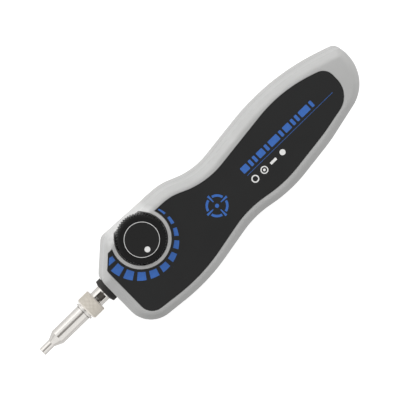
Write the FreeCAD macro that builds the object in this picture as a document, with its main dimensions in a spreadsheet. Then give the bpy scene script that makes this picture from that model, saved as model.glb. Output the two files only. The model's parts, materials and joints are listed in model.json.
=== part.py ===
import FreeCAD, Part
import math
import operator
import os
from types import SimpleNamespace

import Sketcher

# Handheld fiber inspection microscope, in millimetres.
# Pieces are drawn from the tip's front end, on the optical axis and the parting plane of the two shells:
# x runs from the tip to the tail, y across the housing, z up through the focus knob.
# The finished part stands on its back: z = 0 below, x = y = 0 at the middle of the whole.

SIZES = {
    # Whole
    "overall_length": 155.0,
    "half_thickness": 13.0,
    "centre_line_y": -3.39,
    # Housing outline, one corner after another: place of the sharp corner and its rounding.
    # A place that ends in back is measured from the tail.
    "front_x": 33.6,
    "front_upper_y": 4.3,
    "front_upper_r": 3.4,
    "shoulder_x": 44.4,
    "shoulder_y": 14.3,
    "shoulder_r": 3.4,
    "head_end_x": 73.1,
    "head_end_y": 13.1,
    "head_end_r": 21.6,
    "waist_upper_x": 85.7,
    "waist_upper_y": 7.9,
    "waist_upper_r": 27.2,
    "grip_upper_back": 26.5,
    "grip_upper_y": 13.3,
    "grip_upper_r": 90.0,
    "tail_upper_y": 4.9,
    "tail_upper_r": 3.6,
    "tail_lower_y": -10.9,
    "tail_lower_r": 15.0,
    "belly_back": 26.3,
    "belly_y": -17.1,
    "belly_r": 59.6,
    "grip_lower_back": 49.0,
    "grip_lower_y": -20.1,
    "grip_lower_r": 54.0,
    "waist_lower_back": 65.0,
    "waist_lower_y": -17.3,
    "waist_lower_r": 37.0,
    "head_lower_x": 61.3,
    "head_lower_y": -22.7,
    "head_lower_r": 73.4,
    "front_lower_y": -20.0,
    "front_lower_r": 10.2,
    # Housing walls and edges
    "wall": 2.4,
    "edge_chamfer": 2.2,
    "edge_soft": 2.0,
    "rounding_gap": 0.2,
    "seam_chamfer": 0.25,
    "tail_slope_start": 8.0,
    "tail_slope_r": 25.0,
    # Rubber pads on the back
    "pad_front_x": 48.0,
    "pad_tail_back": 23.0,
    "pad_length": 27.5,
    "pad_lower_y": -10.2,
    "pad_upper_y": 2.2,
    "pad_height": 0.3,
    # Sheet on the upper face
    "overlay_thickness": 0.4,
    "overlay_gap": 0.15,
    "overlay_front_inset": 3.9,
    "overlay_corner_rise": 2.0,
    "overlay_shoulder_back": 2.1,
    "overlay_shoulder_drop": 3.4,
    "overlay_head_inset": 3.3,
    "overlay_grip_inset": 3.9,
    "overlay_tail_inset": 9.0,
    "overlay_corner_r": 0.8,
    "overlay_front_lower_r": 5.5,
    "overlay_grip_upper_r": 55.0,
    "overlay_tail_upper_y": 3.6,
    "overlay_tail_lower_y": -9.6,
    "overlay_tail_upper_r": 5.0,
    "overlay_tail_lower_r": 9.0,
    # Focus knob and its well
    "knob_x": 54.6,
    "knob_y": 6.1,
    "knob_r": 9.15,
    "knob_height": 3.8,
    "knob_bevel": 0.8,
    "knob_teeth": 54,
    "tooth_depth": 0.5,
    "tooth_gap": 0.76,
    "well_gap": 0.72,
    "well_rim": 1.23,
    "well_depth": 4.4,
    "well_floor": 1.6,
    "knob_hub_r": 3.4,
    "knob_rim": 1.45,
    "knob_web": 2.8,
    "mark_ring_r": 6.54,
    "mark_ring_width": 0.37,
    "mark_depth": 0.3,
    "cap_thickness": 1.2,
    "mark_dot_r": 1.1,
    "mark_dot_place": 4.07,
    "mark_dot_angle": -104.0,
    "knob_screw_r": 0.8,
    "knob_screw_head_r": 1.7,
    "knob_screw_head": 0.9,
    "knob_screw_length": 3.6,
    "knob_screw_seat": 1.2,
    # Focus shaft, bush and washer
    "shaft_r": 1.6,
    "shaft_foot_r": 1.0,
    "running_gap": 0.04,
    "fit_gap": 0.02,
    "bush_wall": 1.0,
    "bush_flange": 1.0,
    "bush_flange_thickness": 0.8,
    "washer_thickness": 0.4,
    "washer_gap": 0.1,
    # Rack and pinion
    "gear_module": 0.3,
    "pinion_teeth": 10,
    "pressure_angle": 25.0,
    "gear_backlash": 0.06,
    "pinion_addendum": 0.24,
    "pinion_dedendum": 0.3,
    "rack_addendum": 0.21,
    "rack_dedendum": 0.3,
    "pinion_half_width": 2.4,
    "rack_half_width": 1.9,
    "rack_teeth": 10,
    # Nose
    "ferrule_bore_r": 1.26,
    "ferrule_bore_length": 4.5,
    "tip_slim_r": 1.575,
    "tip_slim_length": 4.6,
    "tip_cone_length": 3.2,
    "tip_edge": 0.18,
    "light_bore_r": 0.8,
    "light_bore_length": 3.0,
    "tip_wall": 1.05,
    "nose_r": 3.05,
    "nut_front_x": 22.0,
    "nut_length": 5.3,
    "nut_r": 4.55,
    "nut_wall": 1.25,
    "nut_front_chamfer": 0.6,
    "nut_rear_chamfer": 0.3,
    "thread_gap": 0.1,
    "thread_r": 3.85,
    "thread_length": 2.8,
    "flange_r": 3.5,
    "flange_thickness": 0.78,
    "seat_gap": 0.05,
    "spigot_r": 2.4,
    "spigot_length": 1.6,
    "key_width": 2.7,
    "key_height": 0.55,
    "key_margin": 0.2,
    "keyway_gap": 0.05,
    "keyway_end_x": 30.75,
    "ring_r": 3.65,
    "ring_width": 0.7,
    "ring_groove": 0.35,
    "ring_place": 0.35,
    "collar_front_x": 31.2,
    "collar_r": 4.7,
    "collar_bevel": 1.4,
    "collar_bevel_depth": 0.55,
    "collar_spigot_r": 3.95,
    "nosepiece_flange_r": 4.5,
    "nosepiece_flange": 1.0,
    "nosepiece_gap": 1.8,
    "nosepiece_tail_r": 3.5,
    "nosepiece_tail": 0.5,
    "locknut_thickness": 2.0,
    "locknut_r": 5.6,
    # Frame of the optics
    "frame_wall": 3.0,
    "frame_base": 2.0,
    "frame_base_z": -8.5,
    "frame_top_z": 5.8,
    "frame_left_y": -9.4,
    "frame_right_y": 9.2,
    "frame_wall_right_y": 5.4,
    "frame_wide_x": 43.4,
    "splitter_block": 8.0,
    "splitter_block_x": 62.6,
    "splitter_block_z": 5.0,
    "splitter_block_y": 5.2,
    "splitter_size": 5.0,
    "light_path_r": 1.8,
    "rod_r": 1.0,
    "rod_y": -6.4,
    "rod_z": 2.2,
    "rod_seat": 2.0,
    # Focus carriage and lenses
    "carriage_front_x": 47.0,
    "carriage_rear_x": 59.4,
    "carriage_left_y": -8.6,
    "carriage_half_height": 3.6,
    "lens_barrel_front_x": 28.3,
    "lens_barrel_seat": 5.0,
    "lens_barrel_r": 2.15,
    "lens_barrel_wall": 0.4,
    "lens_thickness": 1.5,
    "lens_curve_r": 4.2,
    "lens_place": 0.7,
    "relay_place": 3.0,
    # Boards and what is on them
    "board_thickness": 1.2,
    "camera_board_half": 6.0,
    "sensor_half": 2.6,
    "sensor_thickness": 1.1,
    "led_board_half": 3.2,
    "led_board_thickness": 0.8,
    "led_r": 1.2,
    "led_length": 1.4,
    "main_board_front_x": 84.0,
    "main_board_tail_gap": 8.2,
    "main_board_left_y": -9.2,
    "main_board_right_y": 4.4,
    "board_line_y": -2.0,
    "chip_x": 104.0,
    "chip_size": 9.0,
    "chip_thickness": 1.0,
    "connector_x": 87.0,
    "connector_depth": 3.0,
    "connector_width": 9.0,
    "connector_height": 1.6,
    "ribbon_width": 7.0,
    "ribbon_thickness": 0.3,
    "ribbon_drop_z": -4.2,
    "ribbon_slack": 2.6,
    # Data socket in the tail
    "socket_y": -0.8,
    "socket_width": 9.0,
    "socket_height": 3.2,
    "socket_depth": 7.4,
    "socket_wall": 0.3,
    "socket_floor": 1.4,
    "socket_recess": 1.6,
    "socket_gap": 0.2,
    "tongue_width": 6.6,
    "tongue_thickness": 0.7,
    "tongue_length": 4.4,
    # Screws and the posts that take them
    "boss_r": 2.7,
    "post_r": 2.2,
    "screw_r": 0.95,
    "screw_clearance": 0.15,
    "screw_head_r": 1.8,
    "screw_head": 1.2,
    "screw_recess": 3.0,
    "shell_screw_bite": 6.0,
    "small_screw_r": 0.75,
    "small_head_r": 1.4,
    "small_head": 0.8,
    "small_screw_bite": 2.6,
    "screw_slot": 0.35,
    "frame_screw_inset": 2.6,
    "board_screw_front": 12.0,
    "board_screw_back": 17.0,
    "grip_screw_back": 36.0,
    "tail_screw_back": 24.0,
}

OPERATORS = {"+": operator.add, "-": operator.sub, "*": operator.mul, "/": operator.truediv}


class Size:
    """A number together with the sheet expression that gives it."""

    def __init__(self, value, text):
        self.value = float(value)
        self.text = text

    def __add__(self, other):
        return combine(self, "+", other)

    def __radd__(self, other):
        return combine(other, "+", self)

    def __sub__(self, other):
        return combine(self, "-", other)

    def __rsub__(self, other):
        return combine(other, "-", self)

    def __mul__(self, other):
        return combine(self, "*", other)

    def __rmul__(self, other):
        return combine(other, "*", self)

    def __truediv__(self, other):
        return combine(self, "/", other)

    def __neg__(self):
        return combine(-1, "*", self)


def as_size(value):
    """A plain number as a Size; a Size as it is."""
    if isinstance(value, Size):
        return value
    return Size(value, repr(float(value)))


def combine(left, sign, right):
    """Two sizes joined by an arithmetic sign."""
    left = as_size(left)
    right = as_size(right)
    return Size(OPERATORS[sign](left.value, right.value), f"({left.text} {sign} {right.text})")


doc = FreeCAD.newDocument("fiber_microscope")
sheet = doc.addObject("Spreadsheet::Sheet", "sizes")
for row, (alias, number) in enumerate(SIZES.items(), start=1):
    sheet.set(f"A{row}", alias)
    sheet.set(f"B{row}", str(number))
    sheet.setAlias(f"B{row}", alias)
doc.recompute()
d = SimpleNamespace(**{alias: Size(number, f"sizes.{alias}") for alias, number in SIZES.items()})
ZERO = as_size(0)
REACH = 1.0
SAME_PLACE = 1e-6
SIDE_ANGLE = 87.0
SLOPE_ANGLE = 26.0
nodes = []


# Objects tied to sizes

def bind(obj, prop, size):
    """Ties a property to the sheet."""
    obj.setExpression(prop, as_size(size).text)


def row_place(x, y, z):
    """A place measured from the tip's end, moved to the finished part's own frame."""
    return (x - d.overall_length / 2, y - d.centre_line_y, z + d.half_thickness)


def set_place(obj, x=ZERO, y=ZERO, z=ZERO):
    for axis, size in zip("xyz", row_place(x, y, z)):
        bind(obj, "Placement.Base." + axis, size)


def node(obj, label):
    """Marks an object as one finished piece."""
    obj.Label = label
    nodes.append(obj)
    return obj


def box(name, x, y, z):
    """A block from the lowest to the highest x, y and z."""
    obj = doc.addObject("Part::Box", name)
    bind(obj, "Length", x[1] - x[0])
    bind(obj, "Width", y[1] - y[0])
    bind(obj, "Height", z[1] - z[0])
    set_place(obj, x[0], y[0], z[0])
    return obj


def pillar(name, radius, x, y, z):
    """A cylinder that stands along z."""
    obj = doc.addObject("Part::Cylinder", name)
    bind(obj, "Radius", radius)
    bind(obj, "Height", z[1] - z[0])
    set_place(obj, as_size(x), as_size(y), z[0])
    return obj


def rod(name, radius, x, y=ZERO, z=ZERO):
    """A cylinder that lies along x."""
    obj = doc.addObject("Part::Cylinder", name)
    obj.Placement.Rotation = FreeCAD.Rotation(FreeCAD.Vector(0, 1, 0), 90)
    bind(obj, "Radius", radius)
    bind(obj, "Height", x[1] - x[0])
    set_place(obj, x[0], y, z)
    return obj


def cross_rod(name, radius, x, y, z):
    """A cylinder that lies along y."""
    obj = doc.addObject("Part::Cylinder", name)
    obj.Placement.Rotation = FreeCAD.Rotation(FreeCAD.Vector(1, 0, 0), -90)
    bind(obj, "Radius", radius)
    bind(obj, "Height", y[1] - y[0])
    set_place(obj, x, y[0], z)
    return obj


def ball(name, radius, x, y=ZERO, z=ZERO):
    obj = doc.addObject("Part::Sphere", name)
    bind(obj, "Radius", radius)
    set_place(obj, x, y, z)
    return obj


def fuse(name, pieces):
    if len(pieces) == 1:
        return pieces[0]
    obj = doc.addObject("Part::MultiFuse", name)
    obj.Shapes = pieces
    return obj


def cut(name, base, tools):
    obj = doc.addObject("Part::Cut", name)
    obj.Base = base
    obj.Tool = fuse(name + "_tools", tools)
    return obj


def common(name, pieces):
    obj = doc.addObject("Part::MultiCommon", name)
    obj.Shapes = pieces
    return obj


def compound(name, pieces):
    obj = doc.addObject("Part::Compound", name)
    obj.Links = pieces
    return obj


# Bodies and sketches

def new_body(name, x=ZERO, y=ZERO, z=ZERO):
    body = doc.addObject("PartDesign::Body", name)
    set_place(body, x, y, z)
    return body


def new_sketch(body, name, role):
    """A sketch on one of the body's own origin planes."""
    sketch = body.newObject("Sketcher::SketchObject", name)
    planes = {feature.Role: feature for feature in body.Origin.OriginFeatures}
    sketch.AttachmentSupport = (planes[role], "")
    sketch.MapMode = "FlatFace"
    return sketch


def hold(sketch, geometry, point, x, y):
    """Holds a point of the sketch at its distances from the origin."""
    for axis, line, size in (("X", -2, x), ("Y", -1, y)):
        if size.text == ZERO.text:
            sketch.addConstraint(Sketcher.Constraint("PointOnObject", geometry, point, line))
            continue
        rule = Sketcher.Constraint("Distance" + axis, -1, 1, geometry, point, size.value)
        sketch.setExpression(f"Constraints[{sketch.addConstraint(rule)}]", size.text)


def polygon(sketch, points):
    """A closed outline of straight lines through the given points."""
    points = [(as_size(x), as_size(y)) for x, y in points]
    spots = [FreeCAD.Vector(x.value, y.value, 0) for x, y in points]
    count = len(points)
    for i in range(count):
        sketch.addGeometry(Part.LineSegment(spots[i], spots[(i + 1) % count]), False)
    for i in range(count):
        sketch.addConstraint(Sketcher.Constraint("Coincident", i, 2, (i + 1) % count, 1))
    for i, (x, y) in enumerate(points):
        hold(sketch, i, 1, x, y)


def half_angle(spots, i):
    """Half of the angle inside a corner, with the directions to the corners before and after it."""
    back = (spots[i - 1] - spots[i]).normalize()
    ahead = (spots[(i + 1) % len(spots)] - spots[i]).normalize()
    return back.getAngle(ahead) / 2, back, ahead


def fitted_radii(spots, radii):
    """The roundings of an outline, with two that would meet on a run made smaller alike."""
    count = len(spots)
    leave = [radii[i].value / math.tan(half_angle(spots, i)[0]) for i in range(count)]
    factor = [1.0] * count
    for i in range(count):
        after = (i + 1) % count
        run = spots[i].distanceToPoint(spots[after]) - d.rounding_gap.value
        for end in (i, after):
            factor[end] = min(factor[end], run / (leave[i] + leave[after]))
    return [radius if fit == 1.0 else radius * fit for radius, fit in zip(radii, factor)]


def rounded_outline(sketch, places):
    """A closed outline of straight runs joined by tangent arcs; a corner is x, y and the arc's radius."""
    count = len(places)
    spots = [FreeCAD.Vector(x.value, y.value, 0) for x, y, _ in places]
    radii = fitted_radii(spots, [radius for _, _, radius in places])
    corners = [(x, y, radius) for (x, y, _), radius in zip(places, radii)]
    arcs = []
    for i, (_, _, radius) in enumerate(corners):
        half, back, ahead = half_angle(spots, i)
        leave = radius.value / math.tan(half)
        middle = (back + ahead).normalize() * (radius.value / math.sin(half) - radius.value)
        arcs.append((spots[i] + back * leave, spots[i] + middle, spots[i] + ahead * leave))
    for i in range(count):
        sketch.addGeometry(Part.LineSegment(arcs[i][2], arcs[(i + 1) % count][0]), False)
    for i in range(count):
        sketch.addGeometry(Part.Arc(*arcs[i]), False)
    for i, (x, y, radius) in enumerate(corners):
        arc = count + i
        first = 1 if sketch.getPoint(arc, 1).distanceToPoint(arcs[i][0]) < SAME_PLACE else 2
        before = (i - 1) % count
        sketch.addConstraint(Sketcher.Constraint("Tangent", before, 2, arc, first))
        sketch.addConstraint(Sketcher.Constraint("Tangent", i, 1, arc, 3 - first))
        rule = Sketcher.Constraint("Radius", arc, radius.value)
        sketch.setExpression(f"Constraints[{sketch.addConstraint(rule)}]", radius.text)
        point = sketch.addGeometry(Part.Point(spots[i]), True)
        sketch.addConstraint(Sketcher.Constraint("PointOnObject", point, 1, before))
        sketch.addConstraint(Sketcher.Constraint("PointOnObject", point, 1, i))
        hold(sketch, point, 1, x, y)


def turned(name, profile, upright=False, x=ZERO, y=ZERO):
    """A turned piece: its half section goes once round the optical axis, or round an upright axis."""
    body = new_body(name, x, y)
    sketch = new_sketch(body, name + "_section", "XZ_Plane")
    polygon(sketch, profile)
    turn = body.newObject("PartDesign::Revolution", name + "_turn")
    turn.Profile = sketch
    turn.ReferenceAxis = (sketch, ["V_Axis" if upright else "H_Axis"])
    turn.Angle = 360
    body.Tip = turn
    return body


# Places that several pieces share

GRIP_UPPER_X = d.overall_length - d.grip_upper_back
BELLY_X = d.overall_length - d.belly_back
GRIP_LOWER_X = d.overall_length - d.grip_lower_back
WAIST_LOWER_X = d.overall_length - d.waist_lower_back
HOUSING_CORNERS = (
    (d.front_x, d.front_upper_y, d.front_upper_r),
    (d.shoulder_x, d.shoulder_y, d.shoulder_r),
    (d.head_end_x, d.head_end_y, d.head_end_r),
    (d.waist_upper_x, d.waist_upper_y, d.waist_upper_r),
    (GRIP_UPPER_X, d.grip_upper_y, d.grip_upper_r),
    (d.overall_length, d.tail_upper_y, d.tail_upper_r),
    (d.overall_length, d.tail_lower_y, d.tail_lower_r),
    (BELLY_X, d.belly_y, d.belly_r),
    (GRIP_LOWER_X, d.grip_lower_y, d.grip_lower_r),
    (WAIST_LOWER_X, d.waist_lower_y, d.waist_lower_r),
    (d.head_lower_x, d.head_lower_y, d.head_lower_r),
    (d.front_x, d.front_lower_y, d.front_lower_r),
)
OVERLAY_CORNERS = (
    (d.front_x + d.overlay_front_inset, d.front_upper_y + d.overlay_corner_rise, d.overlay_corner_r),
    (d.shoulder_x - d.overlay_shoulder_back, d.shoulder_y - d.overlay_shoulder_drop, d.overlay_corner_r),
    (d.head_end_x, d.head_end_y - d.overlay_head_inset, d.head_end_r - d.overlay_head_inset),
    (d.waist_upper_x, d.waist_upper_y - d.overlay_grip_inset, d.waist_upper_r + d.overlay_grip_inset),
    (GRIP_UPPER_X, d.grip_upper_y - d.overlay_grip_inset, d.overlay_grip_upper_r),
    (d.overall_length - d.overlay_tail_inset, d.overlay_tail_upper_y, d.overlay_tail_upper_r),
    (d.overall_length - d.overlay_tail_inset, d.overlay_tail_lower_y, d.overlay_tail_lower_r),
    (BELLY_X, d.belly_y + d.overlay_grip_inset, d.belly_r - d.overlay_grip_inset),
    (GRIP_LOWER_X, d.grip_lower_y + d.overlay_grip_inset, d.grip_lower_r - d.overlay_grip_inset),
    (WAIST_LOWER_X, d.waist_lower_y + d.overlay_grip_inset, d.waist_lower_r + d.overlay_grip_inset),
    (d.head_lower_x, d.head_lower_y + d.overlay_head_inset, d.head_lower_r - d.overlay_head_inset),
    (d.front_x + d.overlay_front_inset, d.front_lower_y + d.overlay_head_inset, d.overlay_front_lower_r),
)
# Places of the shell's screws, the frame's screws and the main board's screws, as x and y
SHELL_SCREWS = (
    (42.5, -14.5),
    (78.0, 5.0),
    (80.0, -13.2),
    (d.overall_length - d.grip_screw_back, -12.8),
    (d.overall_length - d.tail_screw_back, 7.4),
)
FRAME_SCREWS = ((d.frame_wide_x + d.frame_screw_inset, 6.6), (60.5, 6.6), (43.5, -7.4), (66.0, -7.2))
BOARD_SCREWS = (
    (d.main_board_front_x + d.board_screw_front, -7.0),
    (d.main_board_front_x + d.board_screw_front, 2.2),
    (d.overall_length - d.board_screw_back, -6.6),
    (d.overall_length - d.board_screw_back, 2.2),
)
TOP = d.half_thickness
CEILING = d.half_thickness - d.wall
WELL_R = d.knob_r + d.well_gap
WELL_FLOOR_Z = TOP - d.well_depth
WELL_UNDERSIDE_Z = WELL_FLOOR_Z - d.well_floor
COLLAR_R = WELL_R + d.well_rim
KNOB_BOTTOM_Z = WELL_FLOOR_Z + d.washer_thickness + d.washer_gap
KNOB_TOP_Z = TOP + d.knob_height
CAP_SEAT_Z = KNOB_TOP_Z - d.cap_thickness
CAP_R = d.mark_ring_r - d.mark_ring_width / 2
KNOB_SCREW_SEAT_Z = CAP_SEAT_Z - d.knob_screw_seat
SHAFT_TOP_Z = KNOB_SCREW_SEAT_Z - d.knob_screw_seat
BUSH_R = d.shaft_r + d.running_gap + d.bush_wall
NUT_REAR_X = d.nut_front_x + d.nut_length
NUT_SEAT_X = d.nut_front_x + d.nut_wall
FLANGE_X = NUT_SEAT_X + d.seat_gap
NOSEPIECE_X = FLANGE_X + d.flange_thickness + d.seat_gap
NOSE_BORE_R = d.spigot_r + d.seat_gap
SHELL_INSIDE_X = d.front_x + d.wall
NOSE_FLANGE_X = SHELL_INSIDE_X + d.nosepiece_gap
FRAME_X = NOSE_FLANGE_X + d.nosepiece_flange
LOCKNUT_X = FRAME_X + d.frame_wall
PINION_R = d.gear_module * d.pinion_teeth / 2
RACK_LINE_Y = d.knob_y - PINION_R
RACK_ROOT_Y = RACK_LINE_Y - d.rack_dedendum
FRAME_BASE_TOP_Z = d.frame_base_z + d.frame_base
BLOCK_REAR_X = d.splitter_block_x + d.splitter_block
SENSOR_REAR_X = BLOCK_REAR_X + d.sensor_thickness
BOARD_TOP_Z = -d.socket_height / 2
BOARD_UNDER_Z = BOARD_TOP_Z - d.board_thickness
MAIN_BOARD_TAIL_X = d.overall_length - d.main_board_tail_gap
SOCKET_REAR_X = d.overall_length - d.socket_recess
LENS_BARREL_REAR_X = d.carriage_front_x + d.lens_barrel_seat
LENS_R = d.lens_barrel_r - d.lens_barrel_wall
SCREW_HOLE_R = d.screw_r + d.screw_clearance


# Housing

def edges_between(shape, first, second):
    """Names of the edges where a face of the first kind meets a face of the second kind."""
    names = []
    for number, edge in enumerate(shape.Edges, start=1):
        kinds = [face_kind(face) for face in shape.ancestorsOfType(edge, Part.Face)]
        if first in kinds and second in kinds:
            names.append(f"Edge{number}")
    return names


def face_kind(face):
    """Whether a face of the housing is a side, a slope, the flat face or the parting face."""
    u0, u1, v0, v1 = face.ParameterRange
    up = abs(face.normalAt((u0 + u1) / 2, (v0 + v1) / 2).z)
    lean = math.degrees(math.acos(min(up, 1.0)))
    if lean > SIDE_ANGLE:
        return "side"
    if lean > SLOPE_ANGLE:
        return "slope"
    return "parting" if abs(face.CenterOfMass.z) < REACH else "flat"


def housing_form(name, upward, thickness):
    """One half of the housing as a full solid, with its tail slope and its bevelled, softened edge."""
    side = 1 if upward else -1
    body = new_body(name)
    sketch = new_sketch(body, name + "_outline", "XY_Plane")
    rounded_outline(sketch, HOUSING_CORNERS)
    pad = body.newObject("PartDesign::Pad", name + "_pad")
    pad.Profile = sketch
    pad.Reversed = not upward
    bind(pad, "Length", thickness)

    slope = new_sketch(body, name + "_tail_slope", "XZ_Plane")
    start_x = d.overall_length - d.tail_slope_start
    centre_z = side * (thickness - d.tail_slope_r)
    beyond_x = d.overall_length + REACH
    spread = math.asin((d.tail_slope_start.value + REACH) / d.tail_slope_r.value)
    centre = FreeCAD.Vector(start_x.value, centre_z.value, 0)
    rim = [centre + FreeCAD.Vector(math.sin(a), side * math.cos(a), 0) * d.tail_slope_r.value
           for a in (0, spread / 2, spread)]
    outer = [FreeCAD.Vector(beyond_x.value, side * (thickness.value + REACH), 0),
             FreeCAD.Vector(start_x.value, side * (thickness.value + REACH), 0)]
    slope.addGeometry(Part.Arc(*rim), False)
    loop = [rim[2], outer[0], outer[1], rim[0]]
    for first, second in zip(loop, loop[1:]):
        slope.addGeometry(Part.LineSegment(first, second), False)
    begin = 1 if slope.getPoint(0, 1).distanceToPoint(rim[0]) < SAME_PLACE else 2
    slope.addConstraint(Sketcher.Constraint("Coincident", 0, 3 - begin, 1, 1))
    slope.addConstraint(Sketcher.Constraint("Coincident", 1, 2, 2, 1))
    slope.addConstraint(Sketcher.Constraint("Coincident", 2, 2, 3, 1))
    slope.addConstraint(Sketcher.Constraint("Coincident", 3, 2, 0, begin))
    slope.addConstraint(Sketcher.Constraint("Vertical", 1))
    slope.addConstraint(Sketcher.Constraint("Vertical", 3))
    hold(slope, 0, 3, start_x, centre_z)
    hold(slope, 1, 2, beyond_x, side * (thickness + REACH))
    hold(slope, 3, 1, start_x, side * (thickness + REACH))
    rule = Sketcher.Constraint("Radius", 0, d.tail_slope_r.value)
    slope.setExpression(f"Constraints[{slope.addConstraint(rule)}]", d.tail_slope_r.text)
    pocket = body.newObject("PartDesign::Pocket", name + "_tail_cut")
    pocket.Profile = slope
    pocket.Midplane = True
    pocket.Type = "ThroughAll"
    doc.recompute()

    bevel = body.newObject("PartDesign::Chamfer", name + "_bevel")
    bevel.Base = (pocket, edges_between(pocket.Shape, "side", "flat"))
    bind(bevel, "Size", d.edge_chamfer)
    doc.recompute()
    soft = body.newObject("PartDesign::Fillet", name + "_soft_edge")
    upper_edges = edges_between(bevel.Shape, "slope", "flat")
    outer_edges = edges_between(bevel.Shape, "slope", "side")
    soft.Base = (bevel, upper_edges + outer_edges)
    bind(soft, "Radius", d.edge_soft)
    doc.recompute()
    seam = body.newObject("PartDesign::Chamfer", name + "_seam")
    seam.Base = (soft, edges_between(soft.Shape, "side", "parting"))
    bind(seam, "Size", d.seam_chamfer)
    body.Tip = seam
    doc.recompute()
    return body


def free_outline(name, corners):
    """A sketch outside any body, on the parting plane."""
    sketch = doc.addObject("Sketcher::SketchObject", name)
    set_place(sketch)
    rounded_outline(sketch, corners)
    return sketch


def inset(name, outline, distance):
    obj = doc.addObject("Part::Offset2D", name)
    obj.Source = outline
    obj.Join = "Intersection"
    bind(obj, "Value", -distance)
    return obj


def raised(name, outline, bottom, top):
    """A flat outline on the parting plane drawn out from one height to another."""
    obj = doc.addObject("Part::Extrusion", name)
    obj.Base = outline
    obj.DirMode = "Custom"
    obj.Dir = FreeCAD.Vector(0, 0, 1)
    obj.Solid = True
    bind(obj, "LengthFwd", top)
    bind(obj, "LengthRev", -bottom)
    return obj


def nose_hole(name):
    return rod(name, d.collar_spigot_r + d.fit_gap, (d.front_x - REACH, SHELL_INSIDE_X + REACH))


def tail_window(name):
    """The window in the tail that the data socket looks out of."""
    half_width = d.socket_width / 2 + d.socket_gap
    half_height = d.socket_height / 2 + d.socket_gap
    front_x = SOCKET_REAR_X - d.socket_depth - d.socket_gap
    return box(name, (front_x, d.overall_length + REACH),
               (d.socket_y - half_width, d.socket_y + half_width), (-half_height, half_height))


def pillars(name, radius, places, z):
    return [pillar(f"{name}_{i}", radius, x, y, z) for i, (x, y) in enumerate(places)]


def upper_shell(cavity_outline, overlay_outline):
    form = housing_form("upper_form", True, TOP)
    hollow = raised("upper_hollow", cavity_outline, as_size(-REACH), CEILING)
    cup = pillar("well_cup", COLLAR_R + d.edge_soft, d.knob_x, d.knob_y, (WELL_UNDERSIDE_Z, TOP))
    bosses = pillars("upper_boss", d.boss_r, SHELL_SCREWS, (ZERO, TOP))
    hollow_cut = cut("upper_hollow_cut", hollow, [cup] + bosses)
    well = pillar("knob_well", WELL_R, d.knob_x, d.knob_y, (WELL_FLOOR_Z, TOP + REACH))
    bush_hole = pillar("bush_hole", BUSH_R + d.fit_gap, d.knob_x, d.knob_y, (WELL_UNDERSIDE_Z - REACH, TOP))
    sheet_seat = raised("overlay_seat", overlay_outline, TOP - d.overlay_thickness, TOP + REACH)
    sheet_collar = pillar("overlay_collar", COLLAR_R, d.knob_x, d.knob_y, (ZERO, TOP + 2 * REACH))
    recess = cut("overlay_recess", sheet_seat, [sheet_collar])
    bite = pillars("upper_pilot", d.screw_r + d.fit_gap, SHELL_SCREWS,
                   (as_size(-REACH), d.shell_screw_bite + REACH))
    tools = [hollow_cut, well, bush_hole, recess, nose_hole("upper_nose_hole"), tail_window("upper_window")]
    node(cut("upper_shell", form, tools + bite), "upper_shell")


def lower_shell(cavity_outline):
    form = housing_form("lower_form", False, TOP - d.pad_height)
    hollow = raised("lower_hollow", cavity_outline, -CEILING, as_size(REACH))
    bosses = pillars("lower_boss", d.boss_r, SHELL_SCREWS, (-TOP, ZERO))
    frame_posts = pillars("frame_post", d.post_r, FRAME_SCREWS, (-TOP, d.frame_base_z))
    board_posts = pillars("board_post", d.post_r, BOARD_SCREWS, (-TOP, BOARD_UNDER_Z))
    hollow_cut = cut("lower_hollow_cut", hollow, bosses + frame_posts + board_posts)
    holes = pillars("shell_screw_hole", SCREW_HOLE_R, SHELL_SCREWS, (-TOP - REACH, as_size(REACH)))
    seats = pillars("shell_screw_seat", d.screw_head_r + d.screw_clearance, SHELL_SCREWS,
                    (-TOP - REACH, -TOP + d.screw_recess))
    frame_pilots = pillars("frame_pilot", d.small_screw_r + d.fit_gap, FRAME_SCREWS,
                           (d.frame_base_z - d.small_screw_bite, d.frame_base_z + REACH))
    board_pilots = pillars("board_pilot", d.small_screw_r + d.fit_gap, BOARD_SCREWS,
                           (BOARD_UNDER_Z - d.small_screw_bite, BOARD_UNDER_Z + REACH))
    tools = [hollow_cut, nose_hole("lower_nose_hole"), tail_window("lower_window")]
    node(cut("lower_shell", form, tools + holes + seats + frame_pilots + board_pilots), "lower_shell")


def grip_pads():
    """Two low rubber pads on the back, one towards each end."""
    rear_x = d.overall_length - d.pad_tail_back
    spans = ((d.pad_front_x, d.pad_front_x + d.pad_length), (rear_x - d.pad_length, rear_x))
    pads = [box(f"grip_pad_{i}", span, (d.pad_lower_y, d.pad_upper_y), (-TOP, -TOP + d.pad_height))
            for i, span in enumerate(spans)]
    node(compound("grip_pads", pads), "grip_pads")


def face_overlay(overlay_outline):
    trimmed = inset("overlay_trimmed", overlay_outline, d.overlay_gap)
    sheet_form = raised("overlay_sheet", trimmed, TOP - d.overlay_thickness, TOP)
    collar = pillar("overlay_bite", COLLAR_R + d.overlay_gap, d.knob_x, d.knob_y, (ZERO, TOP + REACH))
    node(cut("face_overlay", sheet_form, [collar]), "face_overlay")


# Focus knob and drive

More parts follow.
